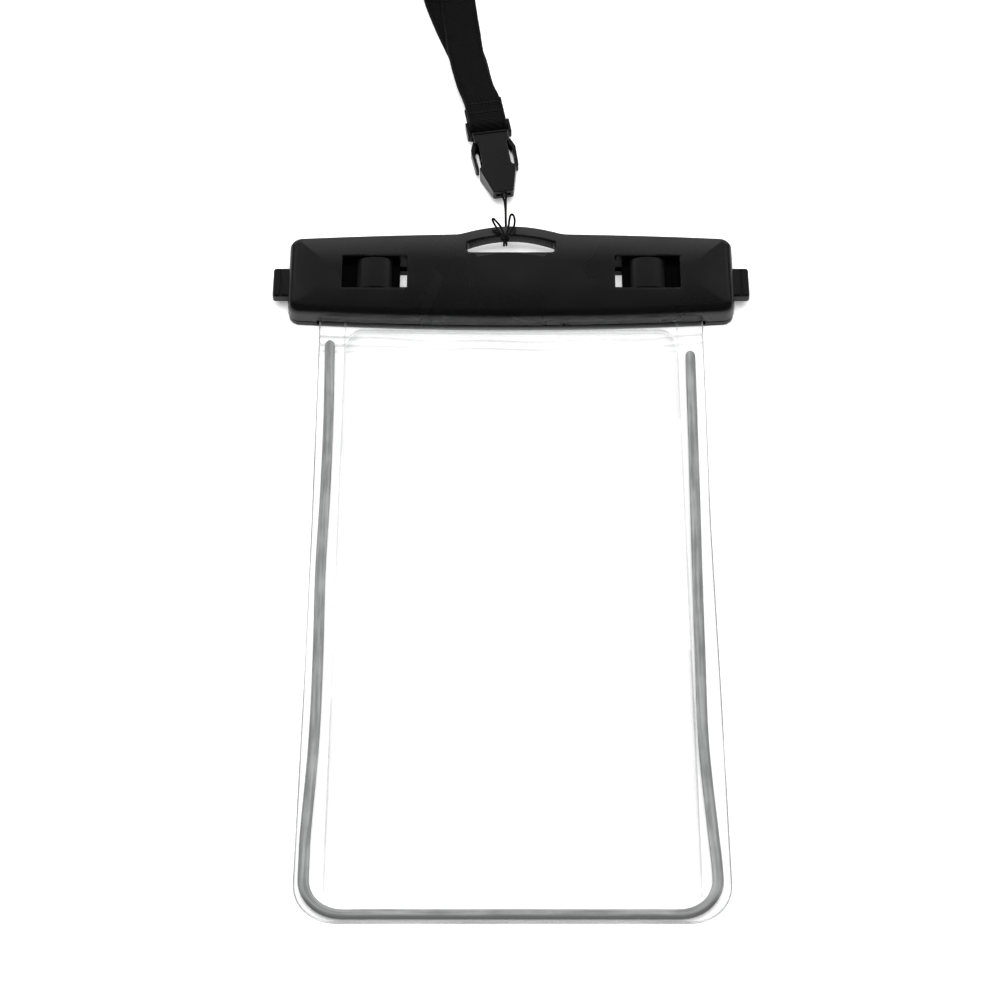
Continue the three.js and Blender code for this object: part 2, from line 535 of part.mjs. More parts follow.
// Film
const ease = (t) => {
  const x = THREE.MathUtils.clamp(t, 0, 1);
  return x * x * (3 - 2 * x);
};
const mouthStartY = JAW_FRONT_Y - JAW_FRONT_BOW - MOUTH_RISE;
const mouthFrontY = JAW_FRONT_Y - JAW_FRONT_BOW - GAP;
const mouthShare = (y) => ease((y - mouthStartY) / (mouthFrontY - mouthStartY));
const pocketBottomY = POUCH_BOTTOM_Y + BOTTOM_WELD_WIDTH + POCKET_BOTTOM_SLOPE;
const pocketTopY = mouthFrontY - POCKET_TOP_RUN;
const pocketHalf = POCKET_WIDTH / 2;
const weldHalf = FILM_WIDTH / 2 - WELD_WIDTH;

// 0 on the weld, 1 on the flat top of the pocket
function pocketShare(x, y) {
  const side = (weldHalf - Math.abs(x)) / (weldHalf - pocketHalf);
  const bottom = (y - POUCH_BOTTOM_Y - BOTTOM_WELD_WIDTH) / POCKET_BOTTOM_SLOPE;
  const top = (mouthFrontY - y) / (mouthFrontY - pocketTopY);
  return Math.sin((Math.PI / 2) * THREE.MathUtils.clamp(Math.min(side, bottom, top), 0, 1));
}

const frontFlange = (y) => THREE.MathUtils.lerp(FLANGE_Z, FRONT_FILM_MOUTH_Z, mouthShare(y));
const rearFlange = (y) => THREE.MathUtils.lerp(0, REAR_FILM_MOUTH_Z, mouthShare(y));

function filmOutline() {
  const half = FILM_WIDTH / 2;
  const corner = [];
  for (let k = 0; k <= FILM_CORNER_STEPS; k += 1) {
    const angle = (k * Math.PI) / 2 / FILM_CORNER_STEPS;
    corner.push([
      half - FILM_CORNER_R * (1 - Math.sin(angle)), POUCH_BOTTOM_Y + FILM_CORNER_R * (1 - Math.cos(angle)),
    ]);
  }
  const opposite = corner.map(([x, y]) => [-x, y]).reverse();
  return [[half, FILM_MOUTH_Y], [-half, FILM_MOUTH_Y], ...opposite, ...corner];
}

function trimToFilm(geometry) {
  const cutter = toManifold(prism(filmOutline(), [-OVERCUT, CLOSURE_THICKNESS + POCKET_HEIGHT]));
  return toGeometry(toManifold(geometry).intersect(cutter));
}

const filmEdge = FILM_WIDTH / 2 + OVERCUT;

function frontFilm() {
  const sideSlope = between(pocketHalf, weldHalf, 3);
  const xs = mirrored([pocketHalf / 2, pocketHalf, ...sideSlope, weldHalf, filmEdge]);
  const slopeStartY = POUCH_BOTTOM_Y + BOTTOM_WELD_WIDTH;
  const ys = [
    POUCH_BOTTOM_Y - OVERCUT, slopeStartY, ...between(slopeStartY, pocketBottomY, 3), pocketBottomY,
    ...between(pocketBottomY, pocketTopY, 3), pocketTopY, ...between(pocketTopY, mouthFrontY, 5),
    mouthFrontY, FILM_MOUTH_Y + OVERCUT,
  ];
  const height = (x, y) => {
    const flange = frontFlange(y);
    return flange + (FLANGE_Z + POCKET_HEIGHT - flange) * pocketShare(x, y);
  };
  return trimToFilm(sheet(xs, ys, height, FILM_THICKNESS));
}

function rearFilm() {
  const ys = [
    POUCH_BOTTOM_Y - OVERCUT, mouthStartY, ...between(mouthStartY, mouthFrontY, 4), mouthFrontY,
    FILM_MOUTH_Y + OVERCUT,
  ];
  return trimToFilm(sheet([-filmEdge, filmEdge], ys, (_, y) => rearFlange(y), FILM_THICKNESS));
}

// Luminous strip: a flat U along the welds with round ends, slightly uneven as it was laid
function luminousStrip() {
  const edge = FILM_WIDTH / 2;
  const bottomY = POUCH_BOTTOM_Y + STRIP_WIDTH / 2 + STRIP_BOTTOM_MARGIN;
  const bend = FILM_CORNER_R - STRIP_WIDTH / 2 - STRIP_BOTTOM_MARGIN;
  const run = (side, start, insets) => insets.map((inset, k) => [
    side * (edge - inset),
    THREE.MathUtils.lerp(FILM_MOUTH_Y - start, POUCH_BOTTOM_Y + STRIP_SIDE_END, k / (insets.length - 1)),
  ]);
  const corner = (side) => [15, 45, 75].map((degrees) => {
    const angle = THREE.MathUtils.degToRad(degrees);
    const inset = STRIP_CORNER_INSET + bend * (1 - Math.cos(angle));
    return [side * (edge - inset), bottomY + bend * (1 - Math.sin(angle))];
  });
  const bottom = [-0.72, -0.24, 0.24, 0.72].map((share) => [share * edge, bottomY]);
  const plan = [
    ...run(-1, STRIP_LEFT_START, STRIP_LEFT_INSETS), ...corner(-1), ...bottom,
    ...corner(1).reverse(), ...run(1, STRIP_RIGHT_START, STRIP_RIGHT_INSETS).reverse(),
  ];
  const height = (y) => frontFlange(y) + FILM_THICKNESS + GAP + STRIP_THICKNESS / 2;
  const route = plan.map(([x, y]) => [x, y, height(y), 0]);
  const line = new THREE.CatmullRomCurve3(route.map(([x, y, z]) => new THREE.Vector3(x, y, z)));
  const length = line.getLength();
  const roundEnd = (t) => {
    const fromEnd = Math.min(t, 1 - t) * length;
    const short = THREE.MathUtils.clamp(1 - fromEnd / (STRIP_WIDTH / 2), 0, 0.9);
    return Math.sqrt(1 - short * short);
  };
  return webbing(route, STRIP_WIDTH, STRIP_THICKNESS, STRIP_STEPS, roundEnd);
}

// Buckle
const mirrorV = (points) => [...points, ...points.slice().reverse().map(([v, u]) => [-v, u])];

// Socket: two plates and their tapered side walls, open at the sides for the ears of the plug, with
// a solid nose that has a post for the thin cord.
function buckleSocket() {
  const waistStart = SOCKET_SHOULDER_U + 0.8;
  const mouthStart = SOCKET_LENGTH - SOCKET_MOUTH_LENGTH;
  const outline = mirrorV([
    [SOCKET_NOSE_HALF - 0.6, 0], [SOCKET_NOSE_HALF, 0.6], [SOCKET_SHOULDER_HALF, SOCKET_SHOULDER_U],
    [SOCKET_SHOULDER_HALF, waistStart], [SOCKET_WAIST_HALF, waistStart + 0.4],
    [SOCKET_WAIST_HALF, mouthStart - 0.8], [SOCKET_MOUTH_HALF, mouthStart],
    [SOCKET_MOUTH_HALF, SOCKET_LENGTH],
  ]);
  const innerShoulder = SOCKET_SHOULDER_HALF - SOCKET_SIDE_WALL;
  const room = mirrorV([
    [SOCKET_NOSE_HALF - SOCKET_SIDE_WALL + 0.4, SOCKET_NOSE_LENGTH], [innerShoulder, SOCKET_SHOULDER_U],
    [SOCKET_SHOULDER_HALF + OVERCUT, SOCKET_SHOULDER_U + OVERCUT],
    [SOCKET_SHOULDER_HALF + OVERCUT, SOCKET_LENGTH + OVERCUT],
  ]);
  const middle = SOCKET_HEIGHT / 2;
  const eyeZ = [middle - EYE_HEIGHT / 2, middle + EYE_HEIGHT / 2];
  const eyeHalf = EYE_POST / 2 + EYE_SLOT;
  return carve(prism(outline, [0, SOCKET_HEIGHT]), {
    cut: [
      prism(room, [SOCKET_PLATE, SOCKET_HEIGHT - SOCKET_PLATE]),
      block([-eyeHalf, -EYE_POST / 2], [-OVERCUT, EYE_POST_DEPTH + OVERCUT / 2], eyeZ),
      block([EYE_POST / 2, eyeHalf], [-OVERCUT, EYE_POST_DEPTH + OVERCUT / 2], eyeZ),
      block([-eyeHalf, eyeHalf], [EYE_POST_DEPTH, EYE_POST_DEPTH + EYE_CHANNEL], eyeZ),
    ],
  });
}

// Plug: tongue, two sprung arms that bow out into ears, base, and the frame that holds the webbing
function bucklePlug() {
  const bottom = SOCKET_PLATE + GAP;
  const z = [bottom, bottom + PLUG_HEIGHT];
  const baseU = SOCKET_LENGTH - PLUG_BASE;
  const slotU = SOCKET_LENGTH + GAP;
  const barU = slotU + PLUG_SLOT;
  const endU = barU + PLUG_BAR;
  const frameZ = [BAR_BOTTOM - 0.4, BAR_BOTTOM + BAR_THICKNESS + 0.4];
  const tongueTip = baseU - PLUG_TONGUE_LENGTH;
  const armRoot = SOCKET_WAIST_HALF - EAR_THICKNESS / 2;
  const tipU = SOCKET_SHOULDER_U + 1.2;
  const ear = [
    [armRoot, baseU + 0.4], [armRoot + EAR_THICKNESS, baseU + 0.4], [EAR_REACH - 0.5, baseU - 3],
    [EAR_REACH, baseU - 4.6], [EAR_REACH - 0.1, baseU - 6.4], [EAR_REACH - 0.9, tipU + 0.3],
    [EAR_REACH - 1.3, tipU], [EAR_REACH - 1.8, tipU + 0.6], [EAR_REACH - EAR_THICKNESS - 0.1, baseU - 6.4],
    [EAR_REACH - EAR_THICKNESS - 0.1, baseU - 4.8], [armRoot + 0.4, baseU - 2.2],
  ];
  const mirror = (points) => points.map(([v, u]) => [-v, u]).reverse();
  const tongue = mirrorV([
    [PLUG_TONGUE_HALF - 0.6, tongueTip], [PLUG_TONGUE_HALF, tongueTip + 1], [PLUG_TONGUE_HALF, baseU + 0.4],
  ]);
  const baseHalf = armRoot + EAR_THICKNESS;
  const frame = [
    block([-PLUG_FRAME_HALF, PLUG_FRAME_HALF], [barU, endU], [BAR_BOTTOM, BAR_BOTTOM + BAR_THICKNESS]),
    block([-baseHalf, baseHalf], [baseU, slotU + 0.2], z),
    block([-PLUG_FRAME_HALF, PLUG_FRAME_HALF], [slotU - 0.01, slotU + 0.6], frameZ),
  ];
  for (const side of [-1, 1]) {
    frame.push(sideBlock(side, [PLUG_FRAME_HALF, PLUG_FRAME_HALF + PLUG_FRAME_SIDE], [slotU, endU], frameZ));
  }
  return carve(prism(tongue, z), { add: [prism(ear, z), prism(mirror(ear), z), ...frame] });
}

// Sewn tab: webbing that wraps around the bar of the plug, with the two legs between its plies
function sewnTab() {
  const slotU = SOCKET_LENGTH + GAP + 0.6;
  const barU = SOCKET_LENGTH + GAP + PLUG_SLOT;
  const barTop = BAR_BOTTOM + BAR_THICKNESS;
  const half = STRAP_THICKNESS / 2;
  const endU = barU + PLUG_BAR + 7.5;
  const lowZ = 0.1 + half;
  const highZ = lowZ + 3 * (STRAP_THICKNESS + SEAT_GAP);
  const wrapU = (slotU + barU) / 2 + 0.15;
  const route = [
    [endU, highZ], [barU + PLUG_BAR + 3, highZ],
    [barU + PLUG_BAR / 2, Math.max(highZ, barTop + GAP + half) + 0.1],
    [barU - 0.3, highZ - 0.15], [wrapU, highZ - 1.2], [wrapU, lowZ + 1.0], [barU - 0.3, lowZ + 0.12],
    [barU + PLUG_BAR, lowZ], [barU + PLUG_BAR + 3, lowZ], [endU, lowZ],
  ];
  const curve = new THREE.CatmullRomCurve3(route.map(([u, w]) => new THREE.Vector3(0, u, w)));
  const steps = 30;
  const rings = [];
  for (let k = 0; k <= steps; k += 1) {
    const at = curve.getPoint(k / steps);
    const along = curve.getTangent(k / steps);
    const normal = [-along.z * half, along.y * half];
    const edge = TAB_PLY_WIDTH / 2 - 0.2;
    rings.push([
      [-edge, at.y - normal[0], at.z - normal[1]], [-edge, at.y + normal[0], at.z + normal[1]],
      [edge, at.y + normal[0], at.z + normal[1]], [edge, at.y - normal[0], at.z - normal[1]],
    ]);
  }
  return loft(rings, (_, i) => new THREE.Vector2(...[[0, 0], [0, 1], [1, 1], [1, 0]][i]));
}

// Coil of the rest of the strap, wound from its middle with the webbing on edge
const coilGrowth = COIL_LAYER / Math.PI;
const coilOuterR = COIL_INNER_R + coilGrowth * COIL_TURNS * 2 * Math.PI + STRAP_THICKNESS;
const ringInnerR = COIL_INNER_R - STRAP_THICKNESS;

function coilRing() {
  const profile = [
    [ringInnerR, 0], [coilOuterR, 0], [coilOuterR, STRAP_WIDTH], [ringInnerR, STRAP_WIDTH], [ringInnerR, 0],
  ].map(([r, z]) => new THREE.Vector2(r, z));
  const ring = new THREE.LatheGeometry(profile, COIL_SIDES).rotateX(Math.PI / 2);
  const notchHalf = TIE_WIDTH / 2 + GAP;
  const notch = block([ringInnerR - OVERCUT, coilOuterR + OVERCUT], [-notchHalf, notchHalf],
    [-OVERCUT, TIE_THICKNESS + GAP]);
  notch.rotateZ(TIE_ANGLE);
  return carve(ring, { cut: [notch] });
}

// The strap's middle, an S of two half circles across the coil
function coilMiddle() {
  const bend = COIL_INNER_R / 2;
  const route = [];
  const stops = 9;
  for (let k = 0; k <= stops; k += 1) {
    const angle = -Math.PI / 2 - (Math.PI * k) / stops;
    route.push([COIL_X + bend * Math.cos(angle), COIL_Y - bend + bend * Math.sin(angle)]);
  }
  for (let k = 1; k <= stops; k += 1) {
    const angle = -Math.PI / 2 + (Math.PI * k) / stops;
    route.push([COIL_X + bend * Math.cos(angle), COIL_Y + bend + bend * Math.sin(angle)]);
  }
  const inside = route.filter(([x, y]) =>
    Math.hypot(x - COIL_X, y - COIL_Y) < ringInnerR - STRAP_THICKNESS / 2 - GAP);
  return webbing(inside.map(([x, y]) => [x, y, STRAP_WIDTH / 2, 90]), STRAP_WIDTH, STRAP_THICKNESS, 24);
}

// Tie: a band around the turns of the coil
function coilTie() {
  const inner = Math.sqrt(ringInnerR ** 2 - (TIE_WIDTH / 2) ** 2) - GAP;
  const outer = coilOuterR + GAP;
  const band = block([inner - TIE_THICKNESS, outer + TIE_THICKNESS], [-TIE_WIDTH / 2, TIE_WIDTH / 2],
    [0, STRAP_WIDTH + GAP + TIE_THICKNESS]);
  const room = block([inner, outer], [-TIE_WIDTH, TIE_WIDTH], [TIE_THICKNESS, STRAP_WIDTH + GAP]);
  return carve(band, { cut: [room] }).rotateZ(TIE_ANGLE);
}

function thinCord() {
  const curve = new THREE.CatmullRomCurve3(CORD_ROUTE.map((p) => new THREE.Vector3(...p)));
  const section = new THREE.Shape();
  for (let k = 0; k < 8; k += 1) {
    const angle = (k * Math.PI) / 4;
    const corner = [(CORD_D / 2) * Math.cos(angle), (CORD_D / 2) * Math.sin(angle)];
    if (k === 0) section.moveTo(...corner);
    else section.lineTo(...corner);
  }
  return new THREE.ExtrudeGeometry(section, { steps: 78, extrudePath: curve, bevelEnabled: false });
}

// Assembly
place(part, 'front_jaw', frontJaw(), SATIN_BLACK());
place(part, 'rear_jaw', rearJaw(), SATIN_BLACK());
place(part, 'right_lock', lock(1), SATIN_BLACK());
place(part, 'left_lock', lock(-1), SATIN_BLACK());
place(part, 'upper_seal', seal([LAND_Z, LAND_Z + UPPER_SEAL_DEPTH - SEAT_GAP]), SEAL_GREY());
place(part, 'lower_seal', seal([LOWER_SEAL_Z, REAR_JAW_THICKNESS]), SEAL_GREY());
place(part, 'front_film', frontFilm(), CLEAR_FILM());
place(part, 'rear_film', rearFilm(), CLEAR_FILM());
place(part, 'luminous_strip', luminousStrip(), GLOW_GREY());
place(part, 'tether_cord', thinCord(), WEBBING());

const buckle = new THREE.Group();
buckle.position.set(BUCKLE_END[0], BUCKLE_END[1], 0);
buckle.rotation.z = BUCKLE_LEAN;
part.add(buckle);
place(buckle, 'buckle_socket', buckleSocket(), GLOSS_BLACK());
place(buckle, 'buckle_plug', bucklePlug(), GLOSS_BLACK());
place(buckle, 'strap_sewn_tab', sewnTab(), WEBBING());

place(part, 'strap_front_leg', webbing(FRONT_LEG, STRAP_WIDTH, STRAP_THICKNESS, 40), WEBBING());
place(part, 'strap_rear_leg', webbing(REAR_LEG, STRAP_WIDTH, STRAP_THICKNESS, 40), WEBBING());
place(part, 'strap_coil_middle', coilMiddle(), WEBBING());

const coil = new THREE.Group();
coil.position.set(COIL_X, COIL_Y, 0);
part.add(coil);
place(coil, 'strap_coil', coilRing(), WEBBING());
place(coil, 'coil_tie', coilTie(), WEBBING());

export default part;
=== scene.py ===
# %% [markdown]
# # A clear waterproof pouch on a neck strap
#
# The pouch lies on its back on a white table: a pocket of clear film welded on three sides, a rigid
# black closure with two sliding locks, a luminous strip laid into the weld, and a thin cord that
# ties the closure to the side-release buckle of a neck strap. The lengths in this script are
# millimetres until a mesh is made, because that is how such a part is drawn; Blender gets metres.

import math

import bmesh
import bpy
from mathutils import Matrix, Vector


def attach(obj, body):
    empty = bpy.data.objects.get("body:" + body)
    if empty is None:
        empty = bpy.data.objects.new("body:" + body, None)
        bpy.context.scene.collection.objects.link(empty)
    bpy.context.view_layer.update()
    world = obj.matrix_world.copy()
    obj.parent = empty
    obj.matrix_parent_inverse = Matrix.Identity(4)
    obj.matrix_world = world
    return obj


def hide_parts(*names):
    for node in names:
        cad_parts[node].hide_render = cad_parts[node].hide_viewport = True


MM = 0.001
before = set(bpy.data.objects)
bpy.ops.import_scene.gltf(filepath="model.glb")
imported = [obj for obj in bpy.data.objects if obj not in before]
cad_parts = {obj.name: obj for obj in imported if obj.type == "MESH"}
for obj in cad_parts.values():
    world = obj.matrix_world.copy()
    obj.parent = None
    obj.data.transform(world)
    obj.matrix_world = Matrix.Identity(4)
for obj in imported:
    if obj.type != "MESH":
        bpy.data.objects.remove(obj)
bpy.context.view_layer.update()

# %% [markdown]
# ## Camera
#
# The photograph looks down at the table from above the pocket's bottom edge. The camera stands where
# the known corners of the closure and the pocket line up with it, with a long lens because the
# pouch's sides converge only slightly. A camera straight above would hide the closure's front face,
# so the tilt matters more than the distance.

# %% Camera
SENSOR_MM, LENS_MM = 36, 111.6
CAMERA_PLACE = (-0.0029, -0.4534, 0.61768)
CAMERA_TILT = math.radians(37.32)


def add_object(name, data):
    obj = bpy.data.objects.new(name, data)
    bpy.context.scene.collection.objects.link(obj)
    return obj


camera_data = bpy.data.cameras.new("camera")
camera_data.sensor_width = SENSOR_MM
camera_data.lens = LENS_MM
camera_data.clip_start = 0.01
camera = add_object("camera", camera_data)
camera.location = CAMERA_PLACE
camera.rotation_euler = (CAMERA_TILT, 0, 0)
bpy.context.scene.camera = camera
print("camera at", [round(value, 3) for value in camera.location])

# %% [markdown]
# ## Small helpers for meshes
#
# Moulded pieces have rounded corners and edges everywhere, so the helpers make solids by lofting an
# outline through rings that draw in along a quarter circle. A bevel modifier could do it after the
# cuts, but it breaks on the short edges that a cut leaves; lofted rings stay clean.


# %% Mesh helpers
def clamp(value):
    return min(max(value, 0.0), 1.0)


def ease(value, low, high):
    """0 up to low, 1 from high on, and a smooth rise between them."""
    t = clamp((value - low) / (high - low))
    return t * t * (3 - 2 * t)


def mesh_object(name, points, faces, sharp=35):
    mesh = bpy.data.meshes.new(name)
    mesh.from_pydata([[value * MM for value in point] for point in points], [], faces)
    obj = add_object(name, mesh)
    shade(obj, sharp)
    return obj


def shade(obj, sharp=35):
    mesh = obj.data
    mesh.polygons.foreach_set("use_smooth", [True] * len(mesh.polygons))
    mesh.set_sharp_from_angle(angle=math.radians(sharp))
    mesh.update()


def loft(name, rings, closed=False, sharp=35):
    """A solid through rings of as many points each, with its faces turned outwards; closed joins the
    last ring to the first."""
    count = len(rings[0])
    faces = []
    steps = len(rings) if closed else len(rings) - 1
    for r in range(steps):
        a, b = r * count, ((r + 1) % len(rings)) * count
        for i in range(count):
            j = (i + 1) % count
            faces.append((a + i, a + j, b + j, b + i))
    if not closed:
        faces.append(tuple(reversed(range(count))))
        faces.append(tuple(range((len(rings) - 1) * count, len(rings) * count)))
    obj = mesh_object(name, [p for ring in rings for p in ring], faces, sharp)
    solid = bmesh.new()
    solid.from_mesh(obj.data)
    if solid.calc_volume(signed=True) < 0:
        bmesh.ops.reverse_faces(solid, faces=solid.faces)
        solid.to_mesh(obj.data)
        shade(obj, sharp)
    solid.free()
    return obj


def rounded(points, radius, steps=5):
    """The polygon with its corners rounded; radius is one value or one for each corner."""
    radii = radius if isinstance(radius, (list, tuple)) else [radius] * len(points)
    out = []
    for k, corner in enumerate(points):
        here = Vector(corner)
        before = Vector(points[k - 1]) - here
        after = Vector(points[(k + 1) % len(points)]) - here
        cut = min(radii[k], before.length * 0.48, after.length * 0.48)
        start, end = here + before.normalized() * cut, here + after.normalized() * cut
        for s in range(steps + 1):
            t = s / steps
            out.append(tuple(start * (1 - t) ** 2 + here * (2 * t * (1 - t)) + end * t ** 2))
    return out


def offset(points, amount):
    """An anticlockwise polygon grown by amount along its corners' normals."""
    out = []
    for k, point in enumerate(points):
        edge = Vector(points[(k + 1) % len(points)]) - Vector(points[k - 1])
        normal = Vector((edge.y, -edge.x)).normalized()
        out.append(tuple(Vector(point) + normal * amount))
    return out


def rectangle(x, y):
    return [(x[0], y[0]), (x[1], y[0]), (x[1], y[1]), (x[0], y[1])]


def prism(name, points, z, low=0.0, high=0.0, steps=4):
    """A prism with its bottom edge rounded by low and its top edge by high. A negative value flares
    the edge outwards, which rounds the rim of the hole that the prism cuts."""
    rings = []
    for k in range(steps + 1 if low else 1):
        turn = math.pi / 2 * k / steps
        shift = -low * (1 - math.sin(turn)) if low else 0
        rings.append((shift, z[0] + abs(low) * (1 - math.cos(turn)) if low else z[0]))
    for k in range(steps + 1 if high else 1):
        turn = math.pi / 2 * k / steps
        shift = -high * (1 - math.cos(turn)) if high else 0
        rings.append((shift, z[1] - abs(high) * (1 - math.sin(turn)) if high else z[1]))
    if high < 0:
        rings.append((-high, z[1] + 1))
    return loft(name, [[(x, y, h) for x, y in offset(points, s)] for s, h in rings])


def block(x, y, z, corner=0.0, name="cutter", **edges):
    """A box with its upright edges rounded by corner; edges are low and high, as for a prism."""
    plan = rectangle(x, y)
    return prism(name, rounded(plan, corner) if corner else plan, z, **edges)


def mirrored(side, x):
    """A range of x on the right side, or its mirror image on the left."""
    return x if side > 0 else (-x[1], -x[0])


def carve(obj, add=(), cut=(), sharp=35):
    """Joins and cuts closed solids, keeps the result as one mesh and removes the helpers."""
    for operation, tools in (("UNION", add), ("DIFFERENCE", cut)):
        for tool in tools:
            modifier = obj.modifiers.new("carve", "BOOLEAN")
            modifier.operation = operation
            modifier.object = tool
            modifier.solver = "EXACT"
    bpy.context.view_layer.update()
    result = obj.evaluated_get(bpy.context.evaluated_depsgraph_get())
    mesh = bpy.data.meshes.new_from_object(result)
    mesh.name = obj.name
    obj.modifiers.clear()
    obj.data = mesh
    for tool in (*add, *cut):
        bpy.data.objects.remove(tool)
    shade(obj, sharp)
    weigh = obj.modifiers.new("even shading", "WEIGHTED_NORMAL")
    weigh.keep_sharp = True
    return obj


def catmull(points, steps):
    """A smooth line through the points, with steps samples for each of its spans."""
    ends = [Vector(p) for p in points]
    ends = [ends[0] * 2 - ends[1], *ends, ends[-1] * 2 - ends[-2]]
    out = []
    for k in range(1, len(ends) - 2):
        p0, p1, p2, p3 = ends[k - 1: k + 3]
        for s in range(steps):
            t = s / steps
            out.append(0.5 * (p1 * 2 + (p2 - p0) * t + (p0 * 2 - p1 * 5 + p2 * 4 - p3) * t ** 2
                              + (p1 * 3 - p0 - p2 * 3 + p3) * t ** 3))
    return [*out, ends[-2]]


def length_of(points):
    return sum((b - a).length for a, b in zip(points, points[1:]))


def heading(points, k):
    """The direction of a line of points at its point k."""
    return (points[min(k + 1, len(points) - 1)] - points[max(k - 1, 0)]).normalized()


print("helpers ready")

# %% [markdown]
# ## Small helpers for materials
#
# Every surface has a fine grain, a weave or streaks. They are made once as node groups that give
# only a mask or a normal, so that each material decides what to do with it.


# %% Material helpers
def new_group(name, inputs, **outputs):
    """A node group with number inputs, given with their values, and outputs of the kinds given."""
    tree = bpy.data.node_groups.new(name, "ShaderNodeTree")
    for label, value in inputs.items():
        tree.interface.new_socket(label, in_out="INPUT", socket_type="NodeSocketFloat").default_value = value
    for label, kind in outputs.items():
        tree.interface.new_socket(label, in_out="OUTPUT", socket_type="NodeSocket" + kind)
    return tree, tree.nodes.new("NodeGroupInput"), tree.nodes.new("NodeGroupOutput")


def connect(source, target):
    """Joins a socket to another, or sets a plain value on it."""
    if isinstance(source, bpy.types.NodeSocket):
        target.id_data.links.new(source, target)
    else:
        target.default_value = source


def math_node(tree, operation, *values, clamp=False):
    node = tree.nodes.new("ShaderNodeMath")
    node.operation = operation
    node.use_clamp = clamp
    for k, value in enumerate(values):
        connect(value, node.inputs[k])
    return node.outputs[0]


def blend_range(tree, value, low, high, start=0.0, end=1.0):
    """The value mapped smoothly from low..high to start..end."""
    node = tree.nodes.new("ShaderNodeMapRange")
    node.interpolation_type = "SMOOTHSTEP"
    for k, item in enumerate((value, low, high, start, end)):
        connect(item, node.inputs[k])
    return node.outputs["Result"]


def noise(tree, vector, scale, detail=2.0, roughness=0.5):
    node = tree.nodes.new("ShaderNodeTexNoise")
    for label, value in (("Vector", vector), ("Scale", scale), ("Detail", detail), ("Roughness", roughness)):
        connect(value, node.inputs[label])
    return node.outputs["Fac"]


def texture_place(tree, kind="Object"):
    return tree.nodes.new("ShaderNodeTexCoord").outputs[kind]


def split(tree, vector):
    node = tree.nodes.new("ShaderNodeSeparateXYZ")
    connect(vector, node.inputs[0])
    return node.outputs


def mix_colors(tree, factor, first, second):
    """A blend of two colours, each three values or a socket."""
    node = tree.nodes.new("ShaderNodeMix")
    node.data_type = "RGBA"
    connect(factor, node.inputs["Factor"])
    for label, color in (("A", first), ("B", second)):
        connect(color if isinstance(color, bpy.types.NodeSocket) else (*color, 1), node.inputs[label])
    return node.outputs["Result"]


def stretched(tree, vector, scale):
    node = tree.nodes.new("ShaderNodeVectorMath")
    node.operation = "MULTIPLY"
    connect(vector, node.inputs[0])
    node.inputs[1].default_value = scale
    return node.outputs[0]


def bump(tree, height, strength, distance, normal=None):
    node = tree.nodes.new("ShaderNodeBump")
    for label, value in (("Strength", strength), ("Distance", distance), ("Height", height)):
        connect(value, node.inputs[label])
    if normal is not None:
        connect(normal, node.inputs["Normal"])
    return node.outputs["Normal"]


def material(name, color, roughness, **sockets):
    """A new material, its tree and its Principled shader; sockets are named with _ for a space."""
    made = bpy.data.materials.new(name)
    made.use_nodes = True
    shader = made.node_tree.nodes["Principled BSDF"]
    shader.inputs["Base Color"].default_value = (*color, 1)
    shader.inputs["Roughness"].default_value = roughness
    for label, value in sockets.items():
        shader.inputs[label.replace("_", " ")].default_value = value
    return made, made.node_tree, shader


def use_group(tree, group, **values):
    node = tree.nodes.new("ShaderNodeGroup")
    node.node_tree = group
    for label, value in values.items():
        connect(value, node.inputs[label.replace("_", " ")])
    return node


def dress(obj, made, slot, body, *replaced):
    """Gives a piece its material, the body that it rides on and the nodes it stands for; slot is not used."""
    obj.data.materials.clear()
    obj.data.materials.append(made)
    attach(obj, body)
    if replaced:
        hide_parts(*replaced)
    return obj


print("material helpers ready")

# %% [markdown]
# ## Shared surface effects
#
# - Moulded grain: fine even pits with a much larger, faint unevenness, as in a spark-eroded mould.
# - Weave: crossing threads, from the length and width coordinates stored on the webbing.
# - Scuffs: rare soft marks that change the gloss a little.

# %% Node groups
grain_group, grain_in, grain_out = new_group(
    "moulded grain", {"Scale": 2600.0, "Depth": 0.12}, Normal="Vector", Mask="Float")
grain_place = texture_place(grain_group)
pits = noise(grain_group, grain_place, grain_in.outputs["Scale"], 3.0, 0.6)
waves = noise(grain_group, grain_place, 55.0, 1.0)
wavy = bump(grain_group, waves, 0.08, 0.0006)
pitted = bump(grain_group, pits, grain_in.outputs["Depth"], 0.00006, wavy)
connect(pitted, grain_out.inputs["Normal"])
connect(blend_range(grain_group, waves, 0.3, 0.7), grain_out.inputs["Mask"])

weave_group, weave_in, weave_out = new_group(
    "weave", {"Pitch": 0.62, "Half Width": 5.0}, Normal="Vector", Mask="Float", Selvedge="Float")
uv = split(weave_group, texture_place(weave_group, "UV"))
turns = math_node(weave_group, "DIVIDE", math.pi, weave_in.outputs["Pitch"])
across = math_node(weave_group, "SINE", math_node(weave_group, "MULTIPLY", uv["X"], turns))
skew = math_node(weave_group, "ADD", uv["Y"],
                 math_node(weave_group, "MULTIPLY", uv["X"], 0.5))
along = math_node(weave_group, "SINE", math_node(weave_group, "MULTIPLY", skew, turns))
threads = math_node(weave_group, "MULTIPLY", across, along)
from_middle = math_node(weave_group, "ABSOLUTE", uv["X"])
from_edge = math_node(weave_group, "SUBTRACT", weave_in.outputs["Half Width"], from_middle)
edge_dip = math_node(weave_group, "ABSOLUTE", math_node(weave_group, "SUBTRACT", from_edge, 0.95))
selvedge = blend_range(weave_group, edge_dip, 0.0, 0.3)
weave_height = math_node(weave_group, "ADD", math_node(weave_group, "MULTIPLY", threads, 0.5),
                         math_node(weave_group, "MULTIPLY", selvedge, 0.8))
